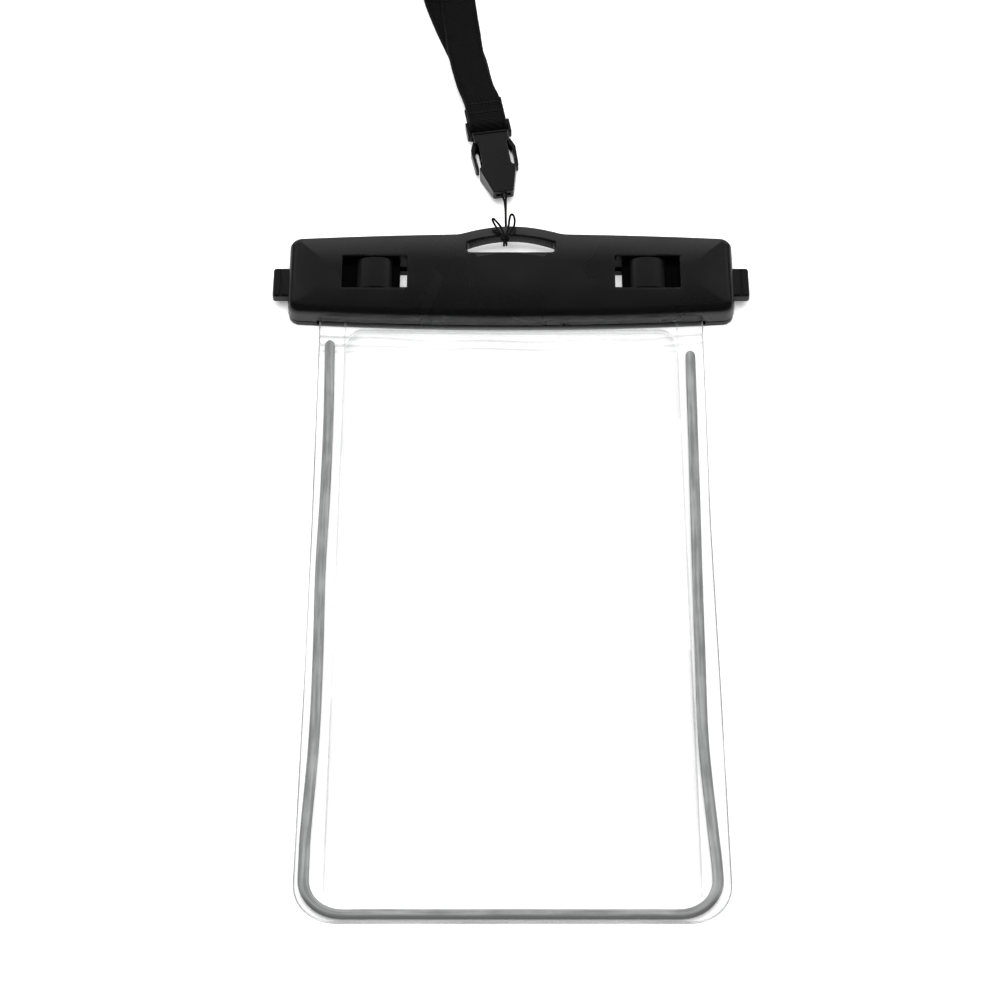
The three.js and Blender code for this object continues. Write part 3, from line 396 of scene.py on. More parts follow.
connect(bump(weave_group, weave_height, 0.5, 0.00018), weave_out.inputs["Normal"])
connect(blend_range(weave_group, threads, -1.0, 1.0), weave_out.inputs["Mask"])
connect(selvedge, weave_out.inputs["Selvedge"])

scuff_group, scuff_in, scuff_out = new_group("soft scuffs", {"Amount": 0.05}, Roughness="Float")
scuff_noise = noise(scuff_group, stretched(scuff_group, texture_place(scuff_group), (1, 0.4, 1)), 140.0, 4.0)
scuff_mask = blend_range(scuff_group, scuff_noise, 0.52, 0.72)
scuffed = math_node(scuff_group, "MULTIPLY", scuff_mask, scuff_in.outputs["Amount"])
connect(scuffed, scuff_out.inputs["Roughness"])
print("node groups:", [group.name for group in bpy.data.node_groups])

# %% [markdown]
# ## Black plastics, rubber and webbing
#
# The closure is satin ABS, the buckle acetal, and the seals soft grey silicone. The black is never
# zero: about one part in six hundred is scattered, and the rest of what is seen is gloss.


# %% Opaque materials
def black_plastic(name, color, roughness, grain, gloss=0.5):
    made, tree, shader = material(name, color, roughness, Specular_IOR_Level=gloss)
    surface = use_group(tree, grain_group, Depth=grain)
    scuffs = use_group(tree, scuff_group, Amount=0.04)
    connect(surface.outputs["Normal"], shader.inputs["Normal"])
    uneven = math_node(tree, "MULTIPLY", surface.outputs["Mask"], 0.05)
    rough = math_node(tree, "ADD", math_node(tree, "ADD", uneven, roughness), scuffs.outputs["Roughness"])
    connect(rough, shader.inputs["Roughness"])
    return made


MOULDED_BLACK = (0.0016, 0.0016, 0.0017)
RECESS_PAINTED_SHADE = (0.0004, 0.0004, 0.0004)
RECESS_Z_M, RECESS_END_M = (0.00525, 0.0056), (0.0565, 0.058)
closure_black = black_plastic("closure plastic", MOULDED_BLACK, roughness=0.26, grain=0.07)


def paint_recess_shade(made):
    """Painted shade in the recess: under the windows the slide's colour goes to a deeper black and its gloss
    is turned down; its thumb piece and tab are satin.
    """
    tree = made.node_tree
    shader = tree.nodes["Principled BSDF"]
    spot = split(tree, texture_place(tree))
    low = blend_range(tree, spot["Z"], *RECESS_Z_M, 1.0, 0.0)
    inside = blend_range(tree, math_node(tree, "ABSOLUTE", spot["X"]), *RECESS_END_M, 1.0, 0.0)
    recess_shade_share = math_node(tree, "MULTIPLY", low, inside)
    connect(blend_range(tree, recess_shade_share, 0.0, 1.0, 0.36, 0.03), shader.inputs["Specular IOR Level"])
    # Painted shade: in the recess the moulded black goes to a deeper black.
    connect(mix_colors(tree, recess_shade_share, MOULDED_BLACK, RECESS_PAINTED_SHADE), shader.inputs["Base Color"])


lock_black = black_plastic("lock plastic", MOULDED_BLACK, roughness=0.3, grain=0.12)
paint_recess_shade(lock_black)
buckle_black = black_plastic("buckle plastic", (0.0022, 0.0022, 0.0024), roughness=0.27, grain=0.08,
                             gloss=0.28)

seal_rubber, seal_tree, seal_shader = material("seal rubber", (0.27, 0.28, 0.29), 0.55)
seal_surface = use_group(seal_tree, grain_group, Depth=0.08)
connect(seal_surface.outputs["Normal"], seal_shader.inputs["Normal"])


def woven(name, color, pitch, half_width):
    made, tree, shader = material(name, color, 0.8, Specular_IOR_Level=0.3, Sheen_Weight=0.012)
    surface = use_group(tree, weave_group, Pitch=pitch, Half_Width=half_width)
    connect(surface.outputs["Normal"], shader.inputs["Normal"])
    dark, bright, dip = ([value * share for value in color] for share in (0.45, 1.5, 0.3))
    crossed = mix_colors(tree, surface.outputs["Mask"], dark, bright)
    connect(mix_colors(tree, surface.outputs["Selvedge"], dip, crossed), shader.inputs["Base Color"])
    return made


webbing_black = woven("webbing", (0.0022, 0.0022, 0.0023), 0.62, 5.0)
cord_black = woven("thin cord", (0.004, 0.004, 0.004), 0.3, 9.0)
thread_black, thread_tree, thread_shader = material("thread", (0.009, 0.009, 0.0095), 0.6)
thread_twist = noise(thread_tree, stretched(thread_tree, texture_place(thread_tree), (1, 3, 1)), 2500.0)
connect(bump(thread_tree, thread_twist, 0.4, 0.00008), thread_shader.inputs["Normal"])
print("opaque materials ready")

# %% [markdown]
# ## The thin cord
#
# A braided cord 0.6 mm thick ties the buckle to the arch. It runs from one bow over the arch,
# through the hang slot, around the post in the buckle's eye, back the same way and into the other
# bow. It is one open line, as the real cord is, so a curve with a round section is right for it. The
# small knot that closes the bows is a separate piece on the cord.

# %% Tether cord
CORD_D = 0.6
KNOT_PLACE = (-1.55, 98.95, 7.5)
CORD_ROUTE = [
    (-1.5, 99.0, 7.9), (-1.0, 100.6, 8.3), (-0.6, 102.6, 8.4), (-0.4, 104.8, 8.3), (-0.1, 106.4, 8.2),
    (0.35, 106.8, 8.1), (0.8, 106.2, 8.0), (1.0, 104.8, 7.9), (0.85, 103.0, 7.8), (0.1, 101.2, 7.6),
    (-0.8, 99.6, 7.5),
    (-1.2, 98.9, 6.6), (-1.2, 99.0, 4.9), (-1.2, 100.2, 3.4), (-1.2, 103.0, 2.9), (-1.3, 107.0, 3.0),
    (-1.35, 110.0, 3.3), (-1.35, 113.3, 3.6), (-1.3, 116.3, 3.85), (-1.08, 118.6, 3.8),
    (-1.5, 119.57, 3.7), (-2.5, 119.74, 3.7), (-2.75, 118.9, 3.6), (-1.75, 116.3, 3.25),
    (-1.45, 113.3, 2.95), (-1.4, 110.0, 2.6), (-1.4, 107.0, 2.3), (-1.75, 103.0, 2.4),
    (-1.85, 100.2, 3.2), (-1.85, 99.0, 4.8), (-1.85, 98.9, 6.5), (-2.1, 99.5, 7.4), (-2.9, 100.6, 7.6),
    (-3.7, 102.2, 7.7), (-4.5, 103.8, 7.9), (-4.9, 104.9, 8.1), (-4.6, 105.2, 8.2), (-3.9, 104.2, 8.2),
    (-3.0, 102.8, 8.2), (-2.3, 101.2, 8.1), (-1.9, 99.7, 8.0),
]


def tube(name, line, diameter):
    curve = bpy.data.curves.new(name, "CURVE")
    curve.dimensions = "3D"
    curve.bevel_depth = diameter / 2 * MM
    curve.bevel_resolution = 4
    curve.use_fill_caps = True
    spline = curve.splines.new("POLY")
    spline.points.add(len(line) - 1)
    for point, place in zip(spline.points, line):
        point.co = (*(Vector(place) * MM), 1)
    return add_object(name, curve)


cord_line = catmull(CORD_ROUTE, 8)
tether = dress(tube("tether", cord_line, CORD_D), cord_black, "cord", "pouch", "tether_cord")
knot_turns = []
for k in range(61):
    angle = 2 * math.pi * k / 60
    turn = (0.85 * math.cos(2 * angle + 0.5), 0.6 * math.sin(3 * angle), 0.5625 * math.sin(2 * angle + 0.4))
    knot_turns.append([middle + step for middle, step in zip(KNOT_PLACE, turn)])
knot = dress(tube("tether_knot", knot_turns, CORD_D * 0.95), cord_black, "cord", "pouch")

# %% [markdown]
# ## The neck strap
#
# One loop of flat webbing, 10 mm by 1 mm. Both ends are sewn into the tab at the buckle, and the
# photograph shows the first hundred millimetres of its two legs; the rest is wound into a flat coil
# beyond the picture. It is built as one ribbon along one line, with the width direction stored at
# each point, because webbing bends easily across its faces and hardly at all in its own plane.

# %% Strap route
STRAP_WIDTH = 10.0
STRAP_THICKNESS = 1.0
FRONT_LEG = [
    (-6.73, 147.4, 2.9, 0), (-7.75, 153.8, 2.95, 0), (-9.95, 160.7, 2.6, 0), (-12.35, 172.7, 2.1, 0),
    (-13.4, 181.6, 1.8, 0), (-14.3, 189.1, 1.75, 0), (-15.0, 195.6, 1.9, -4), (-16.0, 202.6, 3.2, -24),
    (-18.2, 209.6, 4.6, -54), (-20.9, 216.6, 5.15, -80), (-24.0, 225.0, 5.1, -90),
]
REAR_LEG = [
    (-6.73, 147.4, 1.75, 0), (-7.75, 153.8, 1.8, 0), (-9.9, 162.6, 0.9, 0), (-11.6, 171.6, 0.6, 0),
    (-13.6, 177.6, 0.6, 0), (-16.4, 185.6, 0.6, 0), (-19.4, 195.2, 0.95, -2), (-21.6, 202.6, 2.9, -22),
    (-24.3, 210.1, 4.5, -54), (-26.9, 217.6, 5.15, -80), (-29.5, 226.1, 5.1, -90),
    (-32.4, 235.6, 5.1, -90),
]
COIL_CENTRE = (12.0, 260.6)
COIL_INNER_R = 36.0
COIL_GROWTH = 5 / math.pi
COIL_Z = 5.05
TIE_LIFT = 0.95
TIE_ANGLE = math.radians(20)


def leg_line(route, steps):
    """Points along a leg and the width direction at each."""
    line = catmull([point[:3] for point in route], steps)
    spans = len(route) - 1
    out = []
    for k, centre in enumerate(line):
        ahead = heading(line, k)
        at = min(k / steps, spans - 1e-6)
        low = int(at)
        turn = math.radians(route[low][3] + (route[low + 1][3] - route[low][3]) * (at - low))
        side = ahead.cross(Vector((0, 0, 1))).normalized()
        out.append((centre, side * math.cos(turn) + side.cross(ahead) * math.sin(turn)))
    return out


def coil_point(angle, radius, centre=COIL_CENTRE):
    """A point of the coil, lifted over the tie that passes under the turns."""
    from_tie = abs((angle - TIE_ANGLE + math.pi) % (2 * math.pi) - math.pi) * radius
    lift = ease(TIE_LIFT * (1 - clamp((from_tie - 5) / 14)), 0, 1) if radius > COIL_INNER_R - 6 else 0
    return Vector((centre[0] + radius * math.cos(angle), centre[1] + radius * math.sin(angle), COIL_Z + lift))


down = Vector((0, 0, -1))
coil_line = []
for k in range(91):
    wound = 1.5 * math.pi * (1 - k / 90)
    coil_line.append(coil_point(wound - math.pi / 2, COIL_INNER_R + COIL_GROWTH * wound))
half_bend = COIL_INNER_R / 2
for way in (-1, 1):
    bend_centre = (COIL_CENTRE[0], COIL_CENTRE[1] + way * half_bend)
    for k in range(1, 41):
        coil_line.append(coil_point(-math.pi / 2 + way * math.pi * k / 40, half_bend, bend_centre))
for k in range(1, 151):
    wound = 2.5 * math.pi * k / 150
    coil_line.append(coil_point(math.pi / 2 + wound, COIL_INNER_R + COIL_GROWTH * wound))
front_leg = leg_line(FRONT_LEG, 12)
rear_leg = leg_line(REAR_LEG, 12)


def joined(leg, coil):
    """Samples between the end of a leg and the start of the coil."""
    start, end = leg[-1][0], coil[0]
    reach = (end - start).length
    a = (start - leg[-2][0]).normalized() * reach
    b = (coil[1] - end).normalized() * reach
    out = []
    for t in (k / 14 for k in range(1, 14)):
        point = (start * (2 * t ** 3 - 3 * t ** 2 + 1) + a * (t ** 3 - 2 * t ** 2 + t)
                 + end * (3 * t ** 2 - 2 * t ** 3) + b * (t ** 3 - t ** 2))
        out.append((point, down))
    return out


strap_route = front_leg + joined(front_leg, coil_line) + [(point, down) for point in coil_line]
strap_route += list(reversed(joined(rear_leg, coil_line[::-1]))) + rear_leg[::-1]


# %% Ribbon
def ribbon_section(width, thickness, fine=6):
    """A flat section with round edges, as (across, over) pairs, anticlockwise."""
    half, r = width / 2, thickness / 2
    flat = [half - r - (width - 2 * r) * k / fine for k in range(1, fine)]
    turns = [math.pi * (k / 6 - 0.5) for k in range(7)]
    right = [(half - r + r * math.cos(a), r * math.sin(a)) for a in turns]
    left = [(-x, -y) for x, y in right]
    return right + [(x, r) for x in flat] + left + [(-x, -r) for x in flat]


def ribbon(name, route, width, thickness, shares=None):
    """A band along points with their width directions. Its UV map holds millimetres."""
    section = ribbon_section(width, thickness)
    centres = [centre for centre, _ in route]
    rings, travelled = [], [0.0]
    for k, (centre, across_way) in enumerate(route):
        if k:
            travelled.append(travelled[-1] + (centre - centres[k - 1]).length)
        ahead = heading(centres, k)
        wide = (across_way - ahead * across_way.dot(ahead)).normalized()
        over = wide.cross(ahead)
        share = shares[k] if shares else 1
        rings.append([centre + wide * (a * share) + over * b for a, b in section])
    obj = loft(name, rings)
    uv = obj.data.uv_layers.new(name="millimetres")
    count = len(section)
    for polygon in obj.data.polygons:
        for corner in polygon.loop_indices:
            vertex = obj.data.loops[corner].vertex_index
            uv.data[corner].uv = (section[vertex % count][0], travelled[vertex // count])
    return obj


strap = dress(ribbon("strap", strap_route, STRAP_WIDTH, STRAP_THICKNESS), webbing_black, "webbing",
              "neck_strap", "strap_front_leg", "strap_rear_leg", "strap_coil_middle", "strap_coil")
print("strap faces:", len(strap.data.polygons))

# %% [markdown]
# ## The coil's tie
#
# A soft band holds the turns together. It is a plain loop around them, so it is lofted as a closed
# ring with a rounded band section.

# %% Coil tie
RING_INNER_R = COIL_INNER_R - STRAP_THICKNESS
RING_OUTER_R = COIL_INNER_R + COIL_GROWTH * 2.5 * math.pi + STRAP_THICKNESS
TIE_THICKNESS, TIE_HALF, TIE_EDGE, TIE_GAP = 0.7, 4.0, 0.1, 0.3
tie_inner = math.sqrt(RING_INNER_R ** 2 - TIE_HALF ** 2) - TIE_GAP
tie_outer = RING_OUTER_R + TIE_GAP
band_room = rounded(rectangle((tie_inner, tie_outer), (TIE_THICKNESS, STRAP_WIDTH + 1.3)), 1.2, 6)
flat = TIE_HALF - TIE_EDGE
band_section = [(-TIE_HALF, TIE_EDGE), (-flat, TIE_THICKNESS), (flat, TIE_THICKNESS), (TIE_HALF, TIE_EDGE),
                (flat, 0), (-flat, 0)]
tie_rings = [[(r, across_mm, max(z, 0.0)) for r, z in offset(band_room, grow)]
             for across_mm, grow in band_section]
tie = loft("coil_band", tie_rings, closed=True)
tie.data.transform(Matrix.Translation((COIL_CENTRE[0] * MM, COIL_CENTRE[1] * MM, 0))
                   @ Matrix.Rotation(TIE_ANGLE, 4, "Z"))
band_cloth, band_tree, band_shader = material("band cloth", (0.012, 0.012, 0.013), 0.85)
band_fluff = noise(band_tree, texture_place(band_tree), 3200.0, 3.0)
connect(bump(band_tree, band_fluff, 0.5, 0.0001), band_shader.inputs["Normal"])
dress(tie, band_cloth, "webbing", "neck_strap", "coil_tie")
print("tie faces:", len(tie.data.polygons))

# %% [markdown]
# ## The closure's front half
#
# The black bar that seals the mouth is an injection-moulded shell. Seen from above it is a long lens
# with rounded ends, and its back edge swells into an arch over the hang slot. Its top is slightly
# domed, which gives the soft change from light at the back to dark at the front. The outline is
# lofted through rings for the rounded edge and the dome, and the windows, the slot and the inside
# are cut from it.

# %% Closure sizes
GAP = 0.3
CLOSURE_THICKNESS = 6.9
JAW_HALF = 58.35
JAW_FRONT_Y, JAW_BACK_Y = 74.95, 99.95
JAW_FRONT_BOW, JAW_BACK_BOW = 2.05, 1.85
JAW_CORNER_R = 3.2
JAW_EDGE_R = 2.1
MIDDLE_INSET = 10.5
FRONT_DOME, BACK_DOME = 0.2, 0.45
BACK_EDGE_R = 0.9
ARCH_RISE, ARCH_HALF_WIDTH, ARCH_TOP_Y = 2.75, 13.5, 104.55
SLOT_HALF, SLOT_Y, SLOT_END, SLOT_MIDDLE = 11.5, 94.85, 3.2, 5.9
PARTING_Z, CEILING_Z, ARCH_BOTTOM_Z = 1.9, 5.5, 3.9
MOUTH_STEP_Z = 0.75
WINDOW_Y = (82.15, 93.25)
WINDOW_X, WINDOW_HALF = 35.85, 8.55
LOCK_Z = (2.7, 5.2)
LOCK_Y = 87.7
TAB_Y = (80.7, 90.5)
TAB_OUTER_X = 62.5
SEAL_Y = (77.25, 80.25)
SEAL_HALF = 51.0
HOOK_HALF, HOOK_TOP_Z = 1.5, 5.2
ARCH_ROOM_X, MOUTH_X = (-15.5, 15.5), (-50.8, 50.8)
LOCK_ROOM_END_X, LOCK_ROOM_Y = 56.55, (82.15, 97.6)


def jaw_outline(inset, arch_rise, back_inset=None):
    """The closure in plan, anticlockwise from its front left, drawn in by inset."""
    back_inset = inset if back_inset is None else back_inset
    half = JAW_HALF - inset
    radius = max(JAW_CORNER_R - inset, 0.4)
    run = half - radius

    def front(x):
        return JAW_FRONT_Y - JAW_FRONT_BOW * (1 - (x / JAW_HALF) ** 2) + inset

    def back(x):
        swell = 1 - (x / ARCH_HALF_WIDTH) ** 2
        soft = (swell + math.sqrt(swell ** 2 + 0.02)) / (1 + math.sqrt(1.02))
        return JAW_BACK_Y + JAW_BACK_BOW * (1 - (x / JAW_HALF) ** 2) - back_inset + arch_rise * soft

    def corner(x, y, start):
        return [(x + radius * math.cos(start + k * math.pi / 16),
                 y + radius * math.sin(start + k * math.pi / 16)) for k in range(1, 8)]

    low, high = front(run) + radius, back(run) - radius
    points = [(x, front(x)) for x in (run * (k / 20 - 1) for k in range(41))]
    points += corner(run, low, -math.pi / 2) + [(half, low), (half, high)] + corner(run, high, 0)
    points += [(x, back(x)) for x in (run * (1 - k / 70) for k in range(141))]
    points += corner(-run, high, math.pi / 2) + [(-half, high), (-half, low)]
    return points + corner(-run, low, math.pi)


# %% Front half of the closure
def jaw_ring(inset, drop, back_inset, back_drop):
    """A ring of the front half; drop is how far it lies below the top, at the front and the back."""
    ring = []
    for x, y in jaw_outline(inset, ARCH_RISE, back_inset):
        ring.append((x, y, CLOSURE_THICKNESS - drop + (drop - back_drop) * ease(y, 78, 96)))
    return ring


foot = CLOSURE_THICKNESS - PARTING_Z
rings = [jaw_ring(inset, foot - up, inset, foot - up) for inset, up in ((0.25, 0), (0.07, 0.07), (0, 0.25))]
for k in range(9):
    turn = math.pi / 2 * k / 8
    draw, sink = 1 - math.cos(turn), 1 - math.sin(turn)
    rings.append(jaw_ring(JAW_EDGE_R * draw, FRONT_DOME + JAW_EDGE_R * sink, BACK_EDGE_R * draw,
                          BACK_DOME + BACK_EDGE_R * sink))
for inset in (3.2, 4.5, 6, 7.5, 9, MIDDLE_INSET):
    left = (MIDDLE_INSET - inset) / (MIDDLE_INSET - JAW_EDGE_R)
    back_inset = BACK_EDGE_R + (MIDDLE_INSET - BACK_EDGE_R) * (1 - left)
    rings.append(jaw_ring(inset, FRONT_DOME * left ** 2, back_inset, BACK_DOME * left ** 2))
front_half = loft("closure_front", rings)


def slot_outline():
    top = [(x, SLOT_Y + SLOT_END + (SLOT_MIDDLE - SLOT_END) * (1 - (x / SLOT_HALF) ** 2))
           for x in (SLOT_HALF * (1 - k / 16) for k in range(33))]
    ends = [(-SLOT_HALF, SLOT_Y), (SLOT_HALF, SLOT_Y)]
    return rounded([*ends, *top], [1.0, 1.0, 0.7] + [0.1] * 31 + [0.7], 4)


below = 0.5
arch_room_y = (SLOT_Y - 0.15, ARCH_TOP_Y + 1)
tab_room_y = (TAB_Y[0] - GAP, TAB_Y[1] + GAP)
cuts = [
    prism("slot", slot_outline(), (below, CLOSURE_THICKNESS - 0.15), high=-0.5),
    block(ARCH_ROOM_X, arch_room_y, (below, ARCH_BOTTOM_Z)),
    block((-18.3, 18.3), (LOCK_ROOM_Y[0], SLOT_Y - 1.8), (below, CEILING_Z)),
    block(MOUTH_X, (70, 81.65), (below, 2.45)),
    block((-SEAL_HALF, SEAL_HALF), SEAL_Y, (below, 5.0)),
]
additions = []
for side in (-1, 1):
    cuts.append(block(mirrored(side, (17.3, LOCK_ROOM_END_X)), LOCK_ROOM_Y, (below, CEILING_Z)))
    window_x = mirrored(side, (WINDOW_X - WINDOW_HALF, WINDOW_X + WINDOW_HALF))
    cuts.append(block(window_x, WINDOW_Y, (below, CLOSURE_THICKNESS - 0.03), 0.5, high=-0.15))
    cuts.append(block(mirrored(side, (50.55, 59.4)), tab_room_y, (LOCK_Z[0] - GAP, LOCK_Z[1] + GAP)))
    cuts.append(block(mirrored(side, (50.5, LOCK_ROOM_END_X)), tab_room_y, (below, CEILING_Z)))
carve(front_half, cut=cuts)
for side in (-1, 1):
    for lip_y in ((81.65, 83.15), (92.25, 93.75)):
        additions.append(block(mirrored(side, (32.85, 44.85)), lip_y, (PARTING_Z, 2.4)))
    additions.append(block(mirrored(side, (19.3, 57.05)), (93.25, 94.45), (PARTING_Z, 6.0)))
carve(front_half, add=additions)
dress(front_half, closure_black, "closure_plastic", "pouch", "front_jaw")
print("front half:", len(front_half.data.polygons), "faces")

# %% [markdown]
# ## The closure's rear half
#
# A thin plate with two hooks that reach up through the locks. Its edge is chamfered towards the
# table, and a fine dark line shows where it meets the front half.

# %% Rear half of the closure
rings = [(0.55, 0.0), (0.3, 0.1), (0.2, 0.35), (0.2, 1.45), (0.35, 1.6)]
rear_half = loft("closure_rear", [[(x, y, z) for x, y in jaw_outline(inset, 0)] for inset, z in rings])
over = 2.6
cuts = [
    block(ARCH_ROOM_X, arch_room_y, (-1, over)),
    block((-SEAL_HALF, SEAL_HALF), SEAL_Y, (0.9, over)),
    block(MOUTH_X, (70, 75.6), (MOUTH_STEP_Z, over)),
]
hooks = []
for side in (-1, 1):
    cuts.append(block(mirrored(side, (27.3, 31.5)), (86.9, 92.4), (-1, over), 0.4))
    hook_y = (LOCK_Y - HOOK_HALF, LOCK_Y + HOOK_HALF)
    hooks.append(block(mirrored(side, (49, 51)), hook_y, (0.8, HOOK_TOP_Z), 0.3, high=0.2))
    hooks.append(block(mirrored(side, (50, 52.6)), hook_y, (4.0, HOOK_TOP_Z), 0.3, high=0.2))
carve(rear_half, add=hooks, cut=cuts)
dress(rear_half, closure_black, "closure_plastic", "rear_jaw", "rear_jaw")
print("rear half:", len(rear_half.data.polygons), "faces")

# %% [markdown]
# ## The two locks
#
# Each lock is a slide with an arched thumb piece in its window and a grooved tab that stands out of
# the closure's end. The arch runs across the direction of travel, so a fingertip can push it. It is
# an extruded arch joined to a rounded plate.


# %% Locks
LOCK_PLATE_Y = (82.45, 92.95)
HOOK_SLOT_Y = (85.8, 89.6)
THUMB_HALF, THUMB_TOP_Z = 4.8, 6.85


def make_lock(side, name, node):
    front, back = LOCK_PLATE_Y
    plate = block(mirrored(side, (29.2, 56.25)), LOCK_PLATE_Y, LOCK_Z, 0.5, name, low=0.2, high=0.3)
    tab = block(mirrored(side, (55.2, TAB_OUTER_X)), TAB_Y, LOCK_Z, 0.9, low=0.5, high=0.6)
    middle, rise = side * WINDOW_X, THUMB_TOP_Z - LOCK_Z[1]
    arch = [(middle + THUMB_HALF * math.cos(a), LOCK_Z[1] + rise * math.sin(a))
            for a in (math.pi * k / 40 for k in range(41))]
    arch += [(middle - THUMB_HALF, 4.0), (middle + THUMB_HALF, 4.0)]
    rings = []
    near_end = [(0, 0.25), (0.08, 0.08), (0.25, 0)]
    for y, shrink in [(front + d, s) for d, s in near_end] + [(back - d, s) for d, s in near_end[::-1]]:
        rings.append([(x, y, z - (shrink if z > LOCK_Z[1] + 0.3 else 0)) for x, z in reversed(arch)])
    thumb = loft("thumb", rings)
    cuts = [
        block(mirrored(side, (48.6, 54.8)), HOOK_SLOT_Y, (1.7, 6.2)),
        block(mirrored(side, (48.6, 56.3)), HOOK_SLOT_Y, (3.7, 6.2)),
    ]
    groove_x = JAW_HALF + 2.05
    groove = [(-0.35, 0.6), (-0.3, -0.1), (-0.2, -0.35), (0.2, -0.35), (0.3, -0.1), (0.35, 0.6)]
    groove_rings = [[(side * groove_x + x, y, LOCK_Z[1] + z) for x, z in reversed(groove)] for y in (79, 92)]
    cuts.append(loft("groove", groove_rings))
    carve(plate, add=[tab, thumb], cut=cuts)
    return dress(plate, lock_black, "lock_plastic", node, node)


make_lock(1, "lock_right", "right_lock")
make_lock(-1, "lock_left", "left_lock")
print("locks made")

# %% [markdown]
# ## The seals
#
# Two strips of soft silicone sit in grooves and squeeze the film's mouth between them. Their
# pressing edges are rounded.

# %% Seals
seal_x = (-SEAL_HALF + 0.15, SEAL_HALF - 0.15)
seal_y = (SEAL_Y[0] + 0.15, SEAL_Y[1] - 0.15)
upper_bead = block(seal_x, seal_y, (2.45, 4.85), 0.6, "seal_upper", low=0.35, high=0.1)
dress(upper_bead, seal_rubber, "seal_rubber", "pouch", "upper_seal")
lower_bead = block(seal_x, seal_y, (1.05, 1.6), 0.6, "seal_lower", low=0.1, high=0.25)
dress(lower_bead, seal_rubber, "seal_rubber", "rear_jaw", "lower_seal")
print("seals made")

# %% [markdown]
# ## The film
#
# Two sheets of clear film are welded along the sides and the bottom. The rear one lies on the table,
# and the front one rises from the weld over the filled pocket and comes down to the closure. Each is
# a fine grid with real thickness, so that its edges and creases catch the light as clear film does.
# Low ripples are added in the height itself: where the film is gathered under the closure, and two
# pairs of long folds that run from the middle of the pocket towards its lower corners.

# %% Film shape
FILM_HALF = 50.1
FILM_T = 0.35
POUCH_BOTTOM_Y, FILM_MOUTH_Y = -103.45, 81.35
FILM_CORNER_R = 10.0
MOUTH_FRONT_Y, MOUTH_START_Y = 72.6, 64.9
WELD_HALF, POCKET_HALF = 43.3, 38.0
WELD_BOTTOM_Y, POCKET_BOTTOM_Y, POCKET_TOP_Y = -97.35, -91.35, 59.65
FLANGE_Z, POCKET_RISE = 0.65, 8.3
FRONT_MOUTH_Z, REAR_MOUTH_Z = 2.03, 1.65
STEP_Y = (73.6, 76.8)
GATHER_Y, BOTTOM_RIM_SCALE = 70.3, 1.7
CORNER_ROWS = 18
EDGE_PLACES = [(-103.45, -50.3, 50.3), (-92.4, -50.3, 50.2), (-40, -49.9, 50.0), (10, -49.8, 49.6),
               (50, -50.0, 50.0), (72.6, -50.1, 50.1), (81.35, -50.1, 50.1)]


def film_edges(y):
    """Left and right edge of the film at that height of the pocket, with the round lower corners."""
    for (y0, l0, r0), (y1, l1, r1) in zip(EDGE_PLACES, EDGE_PLACES[1:]):
        if y <= y1 + 0.001:
            t = clamp((y - y0) / (y1 - y0))
            break
    left, right = l0 + (l1 - l0) * t, r0 + (r1 - r0) * t
    into = max(0.0, FILM_CORNER_R - (y - POUCH_BOTTOM_Y))
    back = FILM_CORNER_R - math.sqrt(max(0.0, FILM_CORNER_R ** 2 - into ** 2))
    return left + back, right - back


def pocket_share(x, y):
    side = (WELD_HALF - abs(x)) / (WELD_HALF - POCKET_HALF)
    bottom = (y - WELD_BOTTOM_Y) / (POCKET_BOTTOM_Y - WELD_BOTTOM_Y)
    top = (MOUTH_FRONT_Y - y) / (MOUTH_FRONT_Y - POCKET_TOP_Y)
    least = 1 - sum((1 - clamp(value)) ** 3 for value in (side, bottom, top)) ** (1 / 3)
    return math.sin(math.pi / 2 * clamp(least))


FOLDS = (((10.9, -4), 19.6, (28.8, -76)), ((17.0, -4), 28.5, (37.0, -72)))
FOLD_MIDDLE_X, FOLD_WIDTH = 3.1, 1.5


def along_fold(y, start, bend, end):
    """How far along a fold a place is, and the fold's x there."""
    t = (y - start[1]) / (end[1] - start[1])
    return t, start[0] * (1 - t) ** 2 + bend * 2 * t * (1 - t) + end[0] * t ** 2


def ridge(x, y, fold):
    """1 on a fold's line, fading beside it and towards its ends."""
    t, line = along_fold(y, *fold)
    fade = ease(t, -0.1, 0.15) * (1 - ease(t, 0.85, 1.1))
    return math.exp(-((x - line) / FOLD_WIDTH) ** 2) * fade


def ripple(x, y):
    """The film's unevenness above its even shape."""
    gather = math.exp(-((y - 68.5) / 3.2) ** 2) * 0.16 * math.sin(y * 1.55 + 0.03 * x)
    folds = sum(ridge(abs(x - FOLD_MIDDLE_X), y, fold) for fold in FOLDS)
    slack = 0.12 * math.sin(x * 0.11 + 1.3) * math.sin(y * 0.071 + 0.4)
    return gather * pocket_share(x, y) ** 0.5 + (0.3 * folds + slack) * pocket_share(x, y)


def fold_distance(x, y):
    """How far a place lies from the middle of the nearest fold; it grows past the folds' ends."""
    nearest = 99.0
    for fold in FOLDS:
        t, line = along_fold(y, *fold)
        nearest = min(nearest, abs(abs(x - FOLD_MIDDLE_X) - line) + 40 * max(0.0, -t, t - 1))
    return nearest


def mouth_lift(y, low, high):
    """A film's height on its way into the closure: over the rear half's step, then to the seals."""
    step = high - MOUTH_STEP_Z
    return low + (step - low) * ease(y, MOUTH_START_Y, MOUTH_FRONT_Y) + MOUTH_STEP_Z * ease(y, *STEP_Y)


def front_height(x, y):
    flange = mouth_lift(y, FLANGE_Z, FRONT_MOUTH_Z)
    share = pocket_share(x, y)
    return flange + (FLANGE_Z + POCKET_RISE - flange) * share + ripple(x, y) * (1 if y < MOUTH_FRONT_Y else 0)


def rear_height(x, y):
    return mouth_lift(y, 0.0, REAR_MOUTH_Z)


LINE_NAMES = ("Rim", "Weld", "Fold", "Mouth")


